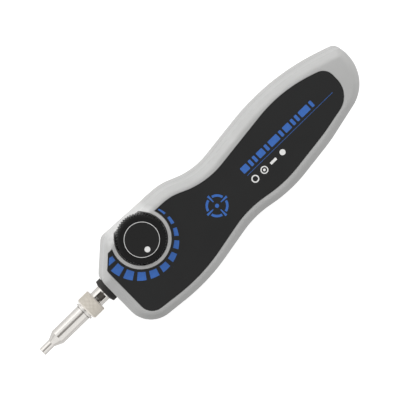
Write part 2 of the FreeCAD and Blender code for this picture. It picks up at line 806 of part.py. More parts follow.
def focus_knob():
    """The knob: a hub and a rim under one top, with fine teeth round the rim and a seat for its cap."""
    rim_inside = d.knob_r - d.knob_rim
    ring_outside = d.mark_ring_r + d.mark_ring_width / 2
    profile = (
        (d.shaft_r + d.fit_gap, KNOB_BOTTOM_Z),
        (d.knob_hub_r, KNOB_BOTTOM_Z),
        (d.knob_hub_r, KNOB_TOP_Z - d.knob_web),
        (rim_inside, KNOB_TOP_Z - d.knob_web),
        (rim_inside, KNOB_BOTTOM_Z),
        (d.knob_r, KNOB_BOTTOM_Z),
        (d.knob_r, KNOB_TOP_Z - d.knob_bevel),
        (d.knob_r - d.knob_bevel, KNOB_TOP_Z),
        (ring_outside, KNOB_TOP_Z),
        (ring_outside, KNOB_TOP_Z - d.mark_depth),
        (CAP_R, KNOB_TOP_Z - d.mark_depth),
        (CAP_R, CAP_SEAT_Z),
        (d.knob_screw_head_r + d.screw_clearance, CAP_SEAT_Z),
        (d.knob_screw_head_r + d.screw_clearance, KNOB_SCREW_SEAT_Z),
        (d.knob_screw_r + d.fit_gap, KNOB_SCREW_SEAT_Z),
        (d.knob_screw_r + d.fit_gap, SHAFT_TOP_Z),
        (d.shaft_r + d.fit_gap, SHAFT_TOP_Z),
    )
    body = turned("focus_knob", profile, True, d.knob_x, d.knob_y)
    sketch = new_sketch(body, "knob_tooth_gap", "XY_Plane")
    polygon(sketch, (
        (d.knob_r - d.tooth_depth, ZERO),
        (d.knob_r + d.tooth_depth, d.tooth_gap),
        (d.knob_r + d.tooth_depth, -d.tooth_gap),
    ))
    gap = body.newObject("PartDesign::Pocket", "knob_tooth_cut")
    gap.Profile = sketch
    gap.Midplane = True
    gap.Type = "ThroughAll"
    doc.recompute()
    ring = body.newObject("PartDesign::PolarPattern", "knob_tooth_ring")
    ring.Originals = [gap]
    ring.Axis = (sketch, ["N_Axis"])
    ring.Angle = 360
    bind(ring, "Occurrences", d.knob_teeth)
    body.Tip = ring
    node(body, "focus_knob")


def knob_cap():
    """The disc in the knob's top; a shallow round mark shows where the knob points."""
    disc = pillar("cap_disc", CAP_R - d.fit_gap, d.knob_x, d.knob_y, (CAP_SEAT_Z, KNOB_TOP_Z))
    angle = math.radians(SIZES["mark_dot_angle"])
    dot_x = d.knob_x + d.mark_dot_place * math.cos(angle)
    dot_y = d.knob_y + d.mark_dot_place * math.sin(angle)
    dot = pillar("cap_dot", d.mark_dot_r, dot_x, dot_y, (KNOB_TOP_Z - d.mark_depth, KNOB_TOP_Z + REACH))
    node(cut("knob_cap", disc, [dot]), "knob_cap")


def screw(name, radius, head_r, head, x, y, seat_z, length, downward=True):
    """A screw with a flat head and a slot; the head sits on seat_z and the shank runs on for length."""
    side = 1 if downward else -1
    low_head, high_head = (seat_z, seat_z + head) if downward else (seat_z - head, seat_z)
    low_shank, high_shank = (seat_z - length, seat_z) if downward else (seat_z, seat_z + length)
    top = seat_z + side * head
    bottom = top - side * d.screw_slot
    low_slot, high_slot = (bottom, top + REACH) if downward else (top - REACH, bottom)
    x = as_size(x)
    y = as_size(y)
    form = fuse(name + "_form", [
        pillar(name + "_head", head_r, x, y, (low_head, high_head)),
        pillar(name + "_shank", radius, x, y, (low_shank, high_shank)),
    ])
    slot = box(name + "_slot", (x - head_r - REACH, x + head_r + REACH),
               (y - d.screw_slot / 2, y + d.screw_slot / 2), (low_slot, high_slot))
    return cut(name, form, [slot])


def focus_shaft():
    """The upright shaft with its pinion cut into it and a tapped hole for the knob's screw."""
    stem = pillar("shaft_stem", d.shaft_r, d.knob_x, d.knob_y, (d.pinion_half_width, SHAFT_TOP_Z))
    foot = pillar("shaft_foot", d.shaft_foot_r, d.knob_x, d.knob_y,
                  (d.frame_base_z + d.running_gap, -d.pinion_half_width))
    form = fuse("shaft_form", [stem, foot, pinion()])
    tapped = pillar("shaft_tapped", d.knob_screw_r + d.fit_gap, d.knob_x, d.knob_y,
                    (KNOB_SCREW_SEAT_Z - d.knob_screw_length - d.seat_gap, SHAFT_TOP_Z + REACH))
    node(cut("focus_shaft", form, [tapped]), "focus_shaft")


def pinion():
    """Involute teeth: each flank is one arc through three points of the involute of the base circle."""
    pitch_r = PINION_R.value
    pressure = math.radians(SIZES["pressure_angle"])
    base_r = pitch_r * math.cos(pressure)
    tip_r = pitch_r + SIZES["pinion_addendum"]
    root_r = pitch_r - SIZES["pinion_dedendum"]
    tooth = math.pi * SIZES["gear_module"] / 2 - SIZES["gear_backlash"]
    half_at_pitch = tooth / (2 * pitch_r)
    count = int(SIZES["pinion_teeth"])

    def involute(angle):
        return math.tan(angle) - angle

    def half_angle(radius):
        return half_at_pitch + involute(pressure) - involute(math.acos(min(1.0, base_r / radius)))

    def spot(radius, angle):
        return FreeCAD.Vector(radius * math.cos(angle), radius * math.sin(angle), 0)

    radii = (base_r, (base_r + tip_r) / 2, tip_r)
    edges = []
    for i in range(count):
        middle = 2 * math.pi * i / count - math.pi / 2
        rise = [spot(r, middle - half_angle(r)) for r in radii]
        fall = [spot(r, middle + half_angle(r)) for r in reversed(radii)]
        foot = spot(root_r, middle - half_angle(base_r))
        heel = spot(root_r, middle + half_angle(base_r))
        next_middle = middle + 2 * math.pi / count
        next_foot = spot(root_r, next_middle - half_angle(base_r))
        edges.append(Part.LineSegment(foot, rise[0]).toShape())
        edges.append(Part.Arc(*rise).toShape())
        edges.append(Part.Arc(rise[2], spot(tip_r, middle), fall[0]).toShape())
        edges.append(Part.Arc(*fall).toShape())
        edges.append(Part.LineSegment(fall[2], heel).toShape())
        edges.append(Part.Arc(heel, spot(root_r, middle + math.pi / count), next_foot).toShape())
    face = Part.Face(Part.Wire(edges))
    obj = doc.addObject("Part::Feature", "pinion")
    obj.Shape = face.extrude(FreeCAD.Vector(0, 0, 2 * SIZES["pinion_half_width"]))
    set_place(obj, d.knob_x, d.knob_y, -d.pinion_half_width)
    return obj


def ring_piece(name, inner, outer, x, y, z):
    """A plain upright ring."""
    body = pillar(name + "_disc", outer, x, y, z)
    hole = pillar(name + "_hole", inner, x, y, (z[0] - REACH, z[1] + REACH))
    return cut(name, body, [hole])


def focus_drive():
    focus_knob()
    knob_cap()
    node(screw("knob_screw", d.knob_screw_r, d.knob_screw_head_r, d.knob_screw_head, d.knob_x, d.knob_y,
               KNOB_SCREW_SEAT_Z, d.knob_screw_length), "knob_screw")
    focus_shaft()
    flange_z = WELL_UNDERSIDE_Z - d.bush_flange_thickness
    bore = d.shaft_r + d.running_gap
    node(turned("shaft_bush", (
        (bore, flange_z),
        (BUSH_R + d.bush_flange, flange_z),
        (BUSH_R + d.bush_flange, WELL_UNDERSIDE_Z),
        (BUSH_R, WELL_UNDERSIDE_Z),
        (BUSH_R, WELL_FLOOR_Z),
        (bore, WELL_FLOOR_Z),
    ), True, d.knob_x, d.knob_y), "shaft_bush")
    node(ring_piece("friction_washer", d.shaft_r + d.screw_clearance, d.knob_hub_r, d.knob_x, d.knob_y,
                    (WELL_FLOOR_Z, WELL_FLOOR_Z + d.washer_thickness)), "friction_washer")


# Nose

def tip_barrel():
    """The tip: a slim end with a bore for the ferrule, a cone, a barrel with a flange, and a keyed spigot."""
    cone_x = d.tip_slim_length + d.tip_cone_length
    light_x = d.ferrule_bore_length + d.light_bore_length
    ring_x = d.nut_front_x - d.ring_place - d.ring_width
    groove_r = d.nose_r - d.ring_groove
    rear_x = FLANGE_X + d.flange_thickness
    end_x = rear_x + d.spigot_length
    inside = d.nose_r - d.tip_wall
    form = turned("tip_form", (
        (ZERO, d.ferrule_bore_r),
        (ZERO, d.tip_slim_r - d.tip_edge),
        (d.tip_edge, d.tip_slim_r),
        (d.tip_slim_length, d.tip_slim_r),
        (cone_x, d.nose_r),
        (ring_x, d.nose_r),
        (ring_x, groove_r),
        (ring_x + d.ring_width, groove_r),
        (ring_x + d.ring_width, d.nose_r),
        (FLANGE_X, d.nose_r),
        (FLANGE_X, d.flange_r),
        (rear_x, d.flange_r),
        (rear_x, d.spigot_r),
        (end_x, d.spigot_r),
        (end_x, inside),
        (light_x, inside),
        (light_x, d.light_bore_r),
        (d.ferrule_bore_length, d.light_bore_r),
        (d.ferrule_bore_length, d.ferrule_bore_r),
    ))
    key = box("tip_key", (rear_x, end_x - d.key_margin), (-d.key_width / 2, d.key_width / 2),
              (inside + d.key_margin, d.spigot_r + d.key_height))
    node(fuse("tip_barrel", [form, key]), "tip_barrel")
    node(turned("nut_retaining_ring", (
        (ring_x + d.fit_gap, groove_r + d.fit_gap),
        (ring_x + d.fit_gap, d.ring_r),
        (ring_x + d.ring_width - d.fit_gap, d.ring_r),
        (ring_x + d.ring_width - d.fit_gap, groove_r + d.fit_gap),
    )), "nut_retaining_ring")


def coupling_nut():
    bore = d.thread_r + d.thread_gap
    front_r = d.nut_r - d.nut_front_chamfer
    rear_r = d.nut_r - d.nut_rear_chamfer
    node(turned("coupling_nut", (
        (d.nut_front_x, d.nose_r + d.seat_gap),
        (d.nut_front_x, front_r),
        (d.nut_front_x + d.nut_front_chamfer, d.nut_r),
        (NUT_REAR_X - d.nut_rear_chamfer, d.nut_r),
        (NUT_REAR_X, rear_r),
        (NUT_REAR_X, bore),
        (NUT_SEAT_X, bore),
        (NUT_SEAT_X, d.nose_r + d.seat_gap),
    )), "coupling_nut")


def nosepiece():
    """The tube that carries the tip: a threaded head, a neck with a keyway, a flange and a threaded tail."""
    neck_x = NOSEPIECE_X + d.thread_length
    end_x = LOCKNUT_X + d.locknut_thickness + d.nosepiece_tail
    form = turned("nosepiece_form", (
        (NOSEPIECE_X, NOSE_BORE_R),
        (NOSEPIECE_X, d.thread_r),
        (neck_x, d.thread_r),
        (neck_x, d.nose_r),
        (NOSE_FLANGE_X, d.nose_r),
        (NOSE_FLANGE_X, d.nosepiece_flange_r),
        (FRAME_X, d.nosepiece_flange_r),
        (FRAME_X, d.nosepiece_tail_r),
        (end_x, d.nosepiece_tail_r),
        (end_x, NOSE_BORE_R),
    ))
    half = d.key_width / 2 + d.keyway_gap
    keyway = box("keyway", (NOSEPIECE_X - REACH, d.keyway_end_x), (-half, half), (ZERO, d.thread_r + REACH))
    node(cut("nosepiece", form, [keyway]), "nosepiece")

    bore = d.nose_r + d.seat_gap
    node(turned("nose_collar", (
        (d.collar_front_x, bore),
        (d.collar_front_x, d.collar_r - d.collar_bevel),
        (d.collar_front_x + d.collar_bevel_depth, d.collar_r),
        (d.front_x, d.collar_r),
        (d.front_x, d.collar_spigot_r),
        (SHELL_INSIDE_X, d.collar_spigot_r),
        (SHELL_INSIDE_X, bore),
    )), "nose_collar")

    hexagon = doc.addObject("Part::Prism", "locknut_form")
    hexagon.Polygon = 6
    hexagon.Placement.Rotation = FreeCAD.Rotation(FreeCAD.Vector(0, 1, 0), 90)
    bind(hexagon, "Circumradius", d.locknut_r)
    bind(hexagon, "Height", d.locknut_thickness)
    set_place(hexagon, LOCKNUT_X)
    hole = rod("locknut_hole", d.nosepiece_tail_r + d.fit_gap,
               (LOCKNUT_X - REACH, LOCKNUT_X + d.locknut_thickness + REACH))
    node(cut("nosepiece_locknut", hexagon, [hole]), "nosepiece_locknut")


# Optics

def guide_rods(name, radius, x):
    """Two rods, one above the other, on the side away from the knob."""
    return [rod(f"{name}_{i}", radius, x, d.rod_y, side * d.rod_z) for i, side in enumerate((1, -1))]


def optics_frame():
    """A base with a front wall for the nosepiece and a rear block for the beam splitter and the camera."""
    base = box("frame_base_plate", (d.frame_wide_x, BLOCK_REAR_X), (d.frame_left_y, d.frame_right_y),
               (d.frame_base_z, FRAME_BASE_TOP_Z))
    tongue = box("frame_base_tongue", (FRAME_X, d.frame_wide_x), (d.frame_left_y, d.frame_wall_right_y),
                 (d.frame_base_z, FRAME_BASE_TOP_Z))
    front = box("frame_front", (FRAME_X, LOCKNUT_X), (d.frame_left_y, d.frame_wall_right_y),
                (d.frame_base_z, d.frame_top_z))
    rear = box("frame_rear", (d.splitter_block_x, BLOCK_REAR_X), (d.frame_left_y, d.splitter_block_y),
               (d.frame_base_z, d.splitter_block_z))
    form = fuse("frame_form", [base, tongue, front, rear])
    half = d.splitter_size / 2 + d.fit_gap
    middle_x = d.splitter_block_x + d.splitter_block / 2
    tools = [
        rod("frame_nose_hole", d.nosepiece_tail_r + d.fit_gap, (FRAME_X - REACH, LOCKNUT_X + REACH)),
        rod("frame_light_path", d.light_path_r, (d.splitter_block_x - REACH, BLOCK_REAR_X + REACH)),
        box("splitter_seat", (middle_x - half, middle_x + half), (-half, half),
            (-half, d.splitter_block_z + REACH)),
        cross_rod("lamp_hole", d.led_r + d.fit_gap, middle_x, (d.frame_left_y - REACH, ZERO), ZERO),
        pillar("shaft_foot_hole", d.shaft_foot_r + d.running_gap, d.knob_x, d.knob_y,
               (d.frame_base_z - REACH, FRAME_BASE_TOP_Z + REACH)),
    ]
    seats = guide_rods("rod_seat_hole", d.rod_r + d.fit_gap,
                       (LOCKNUT_X - d.rod_seat, d.splitter_block_x + d.rod_seat))
    holes = pillars("frame_screw_hole", d.small_screw_r + d.screw_clearance, FRAME_SCREWS,
                    (d.frame_base_z - REACH, FRAME_BASE_TOP_Z + REACH))
    wells = pillars("frame_screw_well", d.small_head_r + d.screw_clearance, FRAME_SCREWS,
                    (FRAME_BASE_TOP_Z, TOP))
    node(cut("optics_frame", form, tools + seats + holes + wells), "optics_frame")
    node(compound("guide_rods", guide_rods("guide_rod", d.rod_r, (
        LOCKNUT_X - d.rod_seat + d.seat_gap, d.splitter_block_x + d.rod_seat - d.seat_gap))), "guide_rods")
    size = d.splitter_size / 2
    cube = box("beam_splitter", (middle_x - size, middle_x + size), (-size, size), (-size, size))
    node(cube, "beam_splitter")


def rack_strip():
    """The rack's teeth along the carriage, trapezoids whose flanks lean by the pressure angle."""
    pitch = math.pi * d.gear_module
    lean = math.tan(math.radians(SIZES["pressure_angle"]))
    half = pitch / 4 - d.gear_backlash / 2
    at_tip = half - d.rack_addendum * lean
    at_root = half + d.rack_dedendum * lean
    tip_y = RACK_LINE_Y + d.rack_addendum
    count = int(SIZES["rack_teeth"])
    first_x = d.knob_x - pitch * (count // 2 - 0.5)
    behind_y = RACK_ROOT_Y - d.gear_module
    points = [(first_x - at_root, behind_y)]
    for i in range(count):
        middle = first_x + pitch * i
        points += [(middle - at_root, RACK_ROOT_Y), (middle - at_tip, tip_y),
                   (middle + at_tip, tip_y), (middle + at_root, RACK_ROOT_Y)]
    points.append((first_x + pitch * (count - 1) + at_root, behind_y))
    body = new_body("rack_strip")
    sketch = new_sketch(body, "rack_profile", "XY_Plane")
    polygon(sketch, points)
    pad = body.newObject("PartDesign::Pad", "rack_pad")
    pad.Profile = sketch
    pad.Midplane = True
    bind(pad, "Length", 2 * d.rack_half_width)
    body.Tip = pad
    return body


def focus_carriage():
    """The sliding block: it runs on the two rods, holds the lens barrel and has the rack on its flank."""
    block = box("carriage_block", (d.carriage_front_x, d.carriage_rear_x), (d.carriage_left_y, RACK_ROOT_Y),
                (-d.carriage_half_height, d.carriage_half_height))
    form = fuse("carriage_form", [block, rack_strip()])
    tools = [
        rod("carriage_barrel_seat", d.lens_barrel_r + d.fit_gap,
            (d.carriage_front_x - REACH, LENS_BARREL_REAR_X)),
        rod("carriage_light_path", d.light_path_r - d.fit_gap, (d.carriage_front_x, d.carriage_rear_x + REACH)),
    ]
    tools += guide_rods("carriage_rod_hole", d.rod_r + d.running_gap,
                        (d.carriage_front_x - REACH, d.carriage_rear_x + REACH))
    node(cut("focus_carriage", form, tools), "focus_carriage")


def lens(name, front_x):
    """A lens with one flat face at the front and one curved face behind."""
    blank = rod(name + "_blank", LENS_R - d.fit_gap, (front_x, front_x + d.lens_thickness))
    curve = ball(name + "_curve", d.lens_curve_r, front_x + d.lens_thickness - d.lens_curve_r)
    return node(common(name, [blank, curve]), name)


def lenses():
    front_x = d.lens_barrel_front_x
    shell = rod("lens_barrel_form", d.lens_barrel_r, (front_x, LENS_BARREL_REAR_X))
    hollow = rod("lens_barrel_hollow", LENS_R, (front_x - REACH, LENS_BARREL_REAR_X + REACH))
    node(cut("lens_barrel", shell, [hollow]), "lens_barrel")
    lens("objective_lens", front_x + d.lens_place)
    lens("relay_lens", LENS_BARREL_REAR_X - d.relay_place)
    ring = rod("retainer_form", LENS_R - d.fit_gap, (front_x, front_x + d.lens_place))
    hole = rod("retainer_hole", LENS_R - d.lens_barrel_wall, (front_x - REACH, front_x + d.lens_place + REACH))
    node(cut("lens_retainer", ring, [hole]), "lens_retainer")


# Electronics

def lamp():
    middle_x = d.splitter_block_x + d.splitter_block / 2
    board_y = d.frame_left_y - d.led_board_thickness
    half = d.led_board_half
    board = box("led_board", (middle_x - half, middle_x + half), (board_y, d.frame_left_y), (-half, half))
    node(board, "led_board")
    dome_y = d.frame_left_y + d.led_length
    stem = cross_rod("led_stem", d.led_r, middle_x, (d.frame_left_y, dome_y), ZERO)
    dome = ball("led_dome", d.led_r, middle_x, dome_y, ZERO)
    node(fuse("lamp_led", [stem, dome]), "lamp_led")


def camera():
    """The image sensor looks forward through the rear block; its board stands behind it."""
    half = d.sensor_half
    chip = box("sensor_form", (BLOCK_REAR_X, SENSOR_REAR_X), (-half, half), (-half, half))
    window = box("sensor_window", (BLOCK_REAR_X - REACH, BLOCK_REAR_X + d.sensor_thickness / 4),
                 (-half / 2, half / 2), (-half / 2, half / 2))
    node(cut("image_sensor", chip, [window]), "image_sensor")
    reach = d.camera_board_half
    board_x = (SENSOR_REAR_X, SENSOR_REAR_X + d.board_thickness)
    node(box("camera_board", board_x, (-reach, reach), (-reach, reach)), "camera_board")


def main_board():
    board = box("main_board_form", (d.main_board_front_x, MAIN_BOARD_TAIL_X),
                (d.main_board_left_y, d.main_board_right_y), (BOARD_UNDER_Z, BOARD_TOP_Z))
    holes = pillars("main_board_hole", d.small_screw_r + d.screw_clearance, BOARD_SCREWS,
                    (BOARD_UNDER_Z - REACH, BOARD_TOP_Z + REACH))
    node(cut("main_board", board, holes), "main_board")
    half = d.chip_size / 2
    chip = box("processor_chip", (d.chip_x - half, d.chip_x + half),
               (d.board_line_y - half, d.board_line_y + half), (BOARD_TOP_Z, BOARD_TOP_Z + d.chip_thickness))
    node(chip, "processor_chip")
    half = d.connector_width / 2
    top = BOARD_TOP_Z + d.connector_height
    housing = box("connector_form", (d.connector_x, d.connector_x + d.connector_depth),
                  (d.board_line_y - half, d.board_line_y + half), (BOARD_TOP_Z, top))
    middle = BOARD_TOP_Z + d.connector_height / 2
    half = d.ribbon_width / 2 + d.seat_gap
    mouth = box("connector_mouth", (d.connector_x - REACH, d.connector_x + d.connector_depth / 2),
                (d.board_line_y - half, d.board_line_y + half),
                (middle - d.ribbon_thickness / 2 - d.seat_gap, middle + d.ribbon_thickness / 2 + d.seat_gap))
    node(cut("ribbon_connector", housing, [mouth]), "ribbon_connector")


def sensor_ribbon():
    """A flat ribbon from the camera's board, in one step up, into the connector on the main board."""
    start_x = SENSOR_REAR_X + d.board_thickness
    end_x = d.connector_x + d.connector_depth / 2 - d.seat_gap
    middle = BOARD_TOP_Z + d.connector_height / 2
    low, high = middle - d.ribbon_thickness / 2, middle + d.ribbon_thickness / 2
    drop = d.ribbon_drop_z
    first_x = start_x + d.ribbon_slack
    second_x = d.connector_x - d.ribbon_slack
    thick = d.ribbon_thickness
    body = new_body("sensor_ribbon", y=d.board_line_y)
    sketch = new_sketch(body, "ribbon_profile", "XZ_Plane")
    polygon(sketch, (
        (start_x, drop),
        (first_x, drop),
        (second_x, low),
        (end_x, low),
        (end_x, high),
        (second_x, high),
        (first_x, drop + thick),
        (start_x, drop + thick),
    ))
    pad = body.newObject("PartDesign::Pad", "ribbon_pad")
    pad.Profile = sketch
    pad.Midplane = True
    bind(pad, "Length", d.ribbon_width)
    body.Tip = pad
    node(body, "sensor_ribbon")


def data_socket():
    """The socket in the tail: a folded metal shell with a contact tongue."""
    front_x = SOCKET_REAR_X - d.socket_depth
    half_width = d.socket_width / 2
    half_height = d.socket_height / 2
    shell = box("socket_form", (front_x, SOCKET_REAR_X), (d.socket_y - half_width, d.socket_y + half_width),
                (-half_height, half_height))
    inside_width = half_width - d.socket_wall
    inside_height = half_height - d.socket_wall
    mouth = box("socket_mouth", (front_x + d.socket_floor, SOCKET_REAR_X + REACH),
                (d.socket_y - inside_width, d.socket_y + inside_width), (-inside_height, inside_height))
    hollow = cut("socket_shell", shell, [mouth])
    tongue_half = d.tongue_width / 2
    tongue = box("socket_tongue", (front_x + d.socket_floor / 2, front_x + d.socket_floor + d.tongue_length),
                 (d.socket_y - tongue_half, d.socket_y + tongue_half),
                 (-d.tongue_thickness / 2, d.tongue_thickness / 2))
    node(fuse("data_socket", [hollow, tongue]), "data_socket")


# Fasteners

def screw_set(label, places, radius, head_r, head, seat_z, length, downward=True):
    """Like screws at several places, as one group of separate solids."""
    screws = [screw(f"{label}_{i}", radius, head_r, head, x, y, seat_z, length, downward)
              for i, (x, y) in enumerate(places)]
    node(compound(label, screws), label)


def fasteners():
    seat_z = -TOP + d.screw_recess
    screw_set("shell_screws", SHELL_SCREWS, d.screw_r, d.screw_head_r, d.screw_head, seat_z,
              d.shell_screw_bite - seat_z, False)
    screw_set("frame_screws", FRAME_SCREWS, d.small_screw_r, d.small_head_r, d.small_head, FRAME_BASE_TOP_Z,
              d.frame_base + d.small_screw_bite - d.seat_gap)
    screw_set("board_screws", BOARD_SCREWS, d.small_screw_r, d.small_head_r, d.small_head, BOARD_TOP_Z,
              d.board_thickness + d.small_screw_bite - d.seat_gap)


def check_and_write():
    """Stops if any object failed or any piece isn't sound, then writes each piece to its own file."""
    doc.recompute()
    for obj in doc.Objects:
        if "Invalid" in obj.State or "Error" in obj.State:
            raise RuntimeError(f"{obj.Name} failed: {obj.State}")
    for piece in nodes:
        if piece.Shape.isNull() or not piece.Shape.isValid() or not piece.Shape.Solids:
            raise RuntimeError(f"{piece.Label} is not a sound solid")
    os.makedirs("parts", exist_ok=True)
    for piece in nodes:
        piece.Shape.exportStep(f"parts/{piece.Label}.step")
        print(piece.Label, len(piece.Shape.Solids), round(piece.Shape.Volume, 3))


housing_outline = free_outline("housing_outline", HOUSING_CORNERS)
cavity = inset("cavity_outline", housing_outline, d.wall)
overlay_edge = free_outline("overlay_outline", OVERLAY_CORNERS)
upper_shell(cavity, overlay_edge)
lower_shell(cavity)
grip_pads()
face_overlay(overlay_edge)
focus_drive()
tip_barrel()
coupling_nut()
nosepiece()
optics_frame()
focus_carriage()
lenses()
lamp()
camera()
main_board()
sensor_ribbon()
data_socket()
fasteners()
check_and_write()
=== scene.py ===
"""Handheld fiber inspection microscope: finishes, printed marks, fine threads and the studio around it."""
import json
import math

import bpy
import numpy as np
from mathutils import Matrix, Vector


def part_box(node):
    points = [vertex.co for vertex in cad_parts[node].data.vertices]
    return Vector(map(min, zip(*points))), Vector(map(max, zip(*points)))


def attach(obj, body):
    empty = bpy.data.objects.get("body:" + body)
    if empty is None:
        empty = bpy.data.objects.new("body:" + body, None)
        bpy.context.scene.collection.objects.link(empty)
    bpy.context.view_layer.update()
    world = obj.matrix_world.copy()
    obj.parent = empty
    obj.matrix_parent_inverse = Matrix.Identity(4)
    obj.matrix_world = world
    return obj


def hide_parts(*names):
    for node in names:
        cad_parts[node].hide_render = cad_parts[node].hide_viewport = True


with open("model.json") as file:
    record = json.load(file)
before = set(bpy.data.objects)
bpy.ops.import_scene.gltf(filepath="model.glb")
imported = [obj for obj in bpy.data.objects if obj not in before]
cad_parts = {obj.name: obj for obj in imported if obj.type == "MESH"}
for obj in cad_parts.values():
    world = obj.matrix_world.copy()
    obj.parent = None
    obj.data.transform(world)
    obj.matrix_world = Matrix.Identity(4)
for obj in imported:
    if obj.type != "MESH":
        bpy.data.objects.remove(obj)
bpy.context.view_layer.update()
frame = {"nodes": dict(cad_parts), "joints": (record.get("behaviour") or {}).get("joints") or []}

bl_info = {
    "name": "Fiber inspection microscope",
    "version": (1, 0, 0),
    "blender": (4, 5, 0),
    "location": "3D View > Sidebar > Microscope",
    "description": "Dresses the packed solids of a handheld fiber inspection microscope",
    "category": "Object",
}

MM = 0.001
WHITE = (1.0, 1.0, 1.0, 1.0)
NODES = frame["nodes"]
JOINTS = {joint["name"]: joint for joint in frame["joints"]}


# Places taken from the frame, in metres

KNOB_CENTRE = np.array(JOINTS["focus_turn"]["pos_m"][:2])
OVERLAY_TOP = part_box("face_overlay")[1].z
KNOB_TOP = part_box("focus_knob")[1].z
NUT_LOW, NUT_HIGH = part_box("coupling_nut")
HEAD_FRONT_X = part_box("nosepiece")[0].x
RING_FRONT_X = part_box("nut_retaining_ring")[0].x
PARTING_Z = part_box("upper_shell")[0].z
AXIS_Y = (NUT_LOW.y + NUT_HIGH.y) / 2
AXIS_Z = (NUT_LOW.z + NUT_HIGH.z) / 2
NUT_LENGTH = NUT_HIGH.x - NUT_LOW.x
NUT_RADIUS = (NUT_HIGH.y - NUT_LOW.y) / 2


# Settings that a user would change

def colour(label, text, value):
    """A colour setting, in linear light."""
    return bpy.props.FloatVectorProperty(
        name=label, description=text, default=value, subtype="COLOR", size=3, min=0.0, max=1.0)


def length(label, text, value):
    """A length setting, in metres."""
    return bpy.props.FloatProperty(name=label, description=text, default=value, unit="LENGTH", precision=5)


def angle(label, text, degrees):
    """An angle setting."""
    return bpy.props.FloatProperty(
        name=label, description=text, default=math.radians(degrees), subtype="ANGLE", unit="ROTATION")


def share(label, text, value):
    """A setting from none to all."""
    return bpy.props.FloatProperty(name=label, description=text, default=value, min=0.0, max=1.0)


def power(label, text, watts):
    """A lamp's power setting."""
    return bpy.props.FloatProperty(name=label, description=text, default=watts, unit="POWER")


class HousingSettings(bpy.types.PropertyGroup):
    """Colours of the housing, the sheet on its face and the knob."""

    shell: colour("Shell", "Moulded grey of the two shells", (0.432, 0.432, 0.427))
    overlay: colour("Overlay", "Dark sheet on the upper face", (0.0105, 0.0107, 0.0108))
    knob: colour("Knob", "Black of the focus knob's rim", (0.0045, 0.0045, 0.0045))
    cap: colour("Cap", "Black of the disc in the knob's top", (0.0094, 0.0094, 0.0094))
    scale_ink: colour("Scale ink", "Blue ink of the scale and the bars", (0.040, 0.137, 0.455))
    mark_ink: colour("Mark ink", "White ink of the knob's marks and the small signs", (0.80, 0.80, 0.79))


class ScaleSettings(bpy.types.PropertyGroup):
    """The printed focus scale round the knob and the other ink."""

    blocks: bpy.props.IntProperty(name="Blocks", description="Blocks in the focus scale", default=11, min=2)
    first: angle("First block", "Direction of the thinnest block from the knob's centre", 8.8)
    step: angle("Step", "Turn from the first block to the second", -21.1)
    closing: angle("Closing", "How much less each turn is than the one before", 0.28)
    width: angle("Width", "Angle that one block takes up", 13.2)
    last_width: angle("Last width", "Angle of the last block, which the sheet's edge cuts", 8.8)
    last_step: angle("Last step", "Turn to the last block", -17.6)
    inner: length("Inner radius", "Radius where the blocks begin", 12.15 * MM)
    outer: length("Outer radius", "Radius where the wedge of blocks starts to grow", 12.6 * MM)
    growth: length("Growth", "How much the wedge grows over its first block", 0.545 * MM)
    ink: length("Ink thickness", "Height of the printed ink", 0.03 * MM)
    edge_margin: length("Edge margin", "Bare strip between the scale and the sheet's edge", 0.8 * MM)


class NoseSettings(bpy.types.PropertyGroup):
    """The plated nose and its nut."""

    nickel: colour("Nickel", "Colour of the plating", (0.80, 0.775, 0.74))
    knurl_nickel: colour("Knurl", "Colour of the plating over the knurl", (1.0, 0.945, 0.87))
    # The grooves' colour is grime and painted shade in the hollows of the knurl.
    groove: colour("Grooves", "Colour of the dirt between the diamonds", (0.50, 0.46, 0.395))
    knurls: bpy.props.IntProperty(name="Knurls", description="Diamonds round the nut", default=40, min=8)
    knurl_depth: length("Knurl depth", "Depth of the grooves between diamonds", 0.16 * MM)
    thread_pitch: length("Thread pitch", "Advance of the nut in one turn", 0.5 * MM)
    thread_depth: length("Thread depth", "Height of the thread's ridge", 0.08 * MM)


class StageSettings(bpy.types.PropertyGroup):
    """Camera, lamps and floor."""

    tilt: angle("View tilt", "Lean of the view from straight above towards the knob's side", 7.1)
    turn: angle("View turn", "Turn of the object in the picture", 44.3)
    width: length("Picture width", "Width that the picture shows at the parting plane", 145.7 * MM)
    focal: bpy.props.FloatProperty(
        name="Focal length", description="Focal length of the camera", default=800.0, unit="CAMERA")
    target: bpy.props.FloatVectorProperty(
        name="Target", description="Point in the middle of the picture",
        subtype="TRANSLATION", unit="LENGTH", default=(2.24 * MM, 2.95 * MM, 13.0 * MM))
    ambient: share("Ambient", "Light from all round", 0.66)
    key: power("Key lamp", "Lamp on the knob's side", 5.0)
    fill: power("Fill lamp", "Lamp beyond the tail", 3.3)
    glint: share("Glint", "Share of the lamps' light that shows in reflections", 0.12)


class MicroscopeSettings(bpy.types.PropertyGroup):
    """All settings of the microscope."""

    housing: bpy.props.PointerProperty(name="Housing", description="Housing colours", type=HousingSettings)
    scale: bpy.props.PointerProperty(name="Scale", description="Printed marks", type=ScaleSettings)
    nose: bpy.props.PointerProperty(name="Nose", description="Plated nose", type=NoseSettings)
    stage: bpy.props.PointerProperty(name="Stage", description="Camera and light", type=StageSettings)


def settings():
    return bpy.context.scene.fiber_microscope


# Surfaces

def grid_faces(rows, columns, closed_rows):
    """Quads of a grid whose columns close on themselves, and whose rows do too if closed_rows."""
    strips = rows if closed_rows else rows - 1
    row, column = np.meshgrid(np.arange(strips), np.arange(columns), indexing="ij")
    next_row = (row + 1) % rows
    next_column = (column + 1) % columns
    corners = (row * columns + column, next_row * columns + column,
               next_row * columns + next_column, row * columns + next_column)
    return np.stack(corners, axis=-1).reshape(-1, 4)


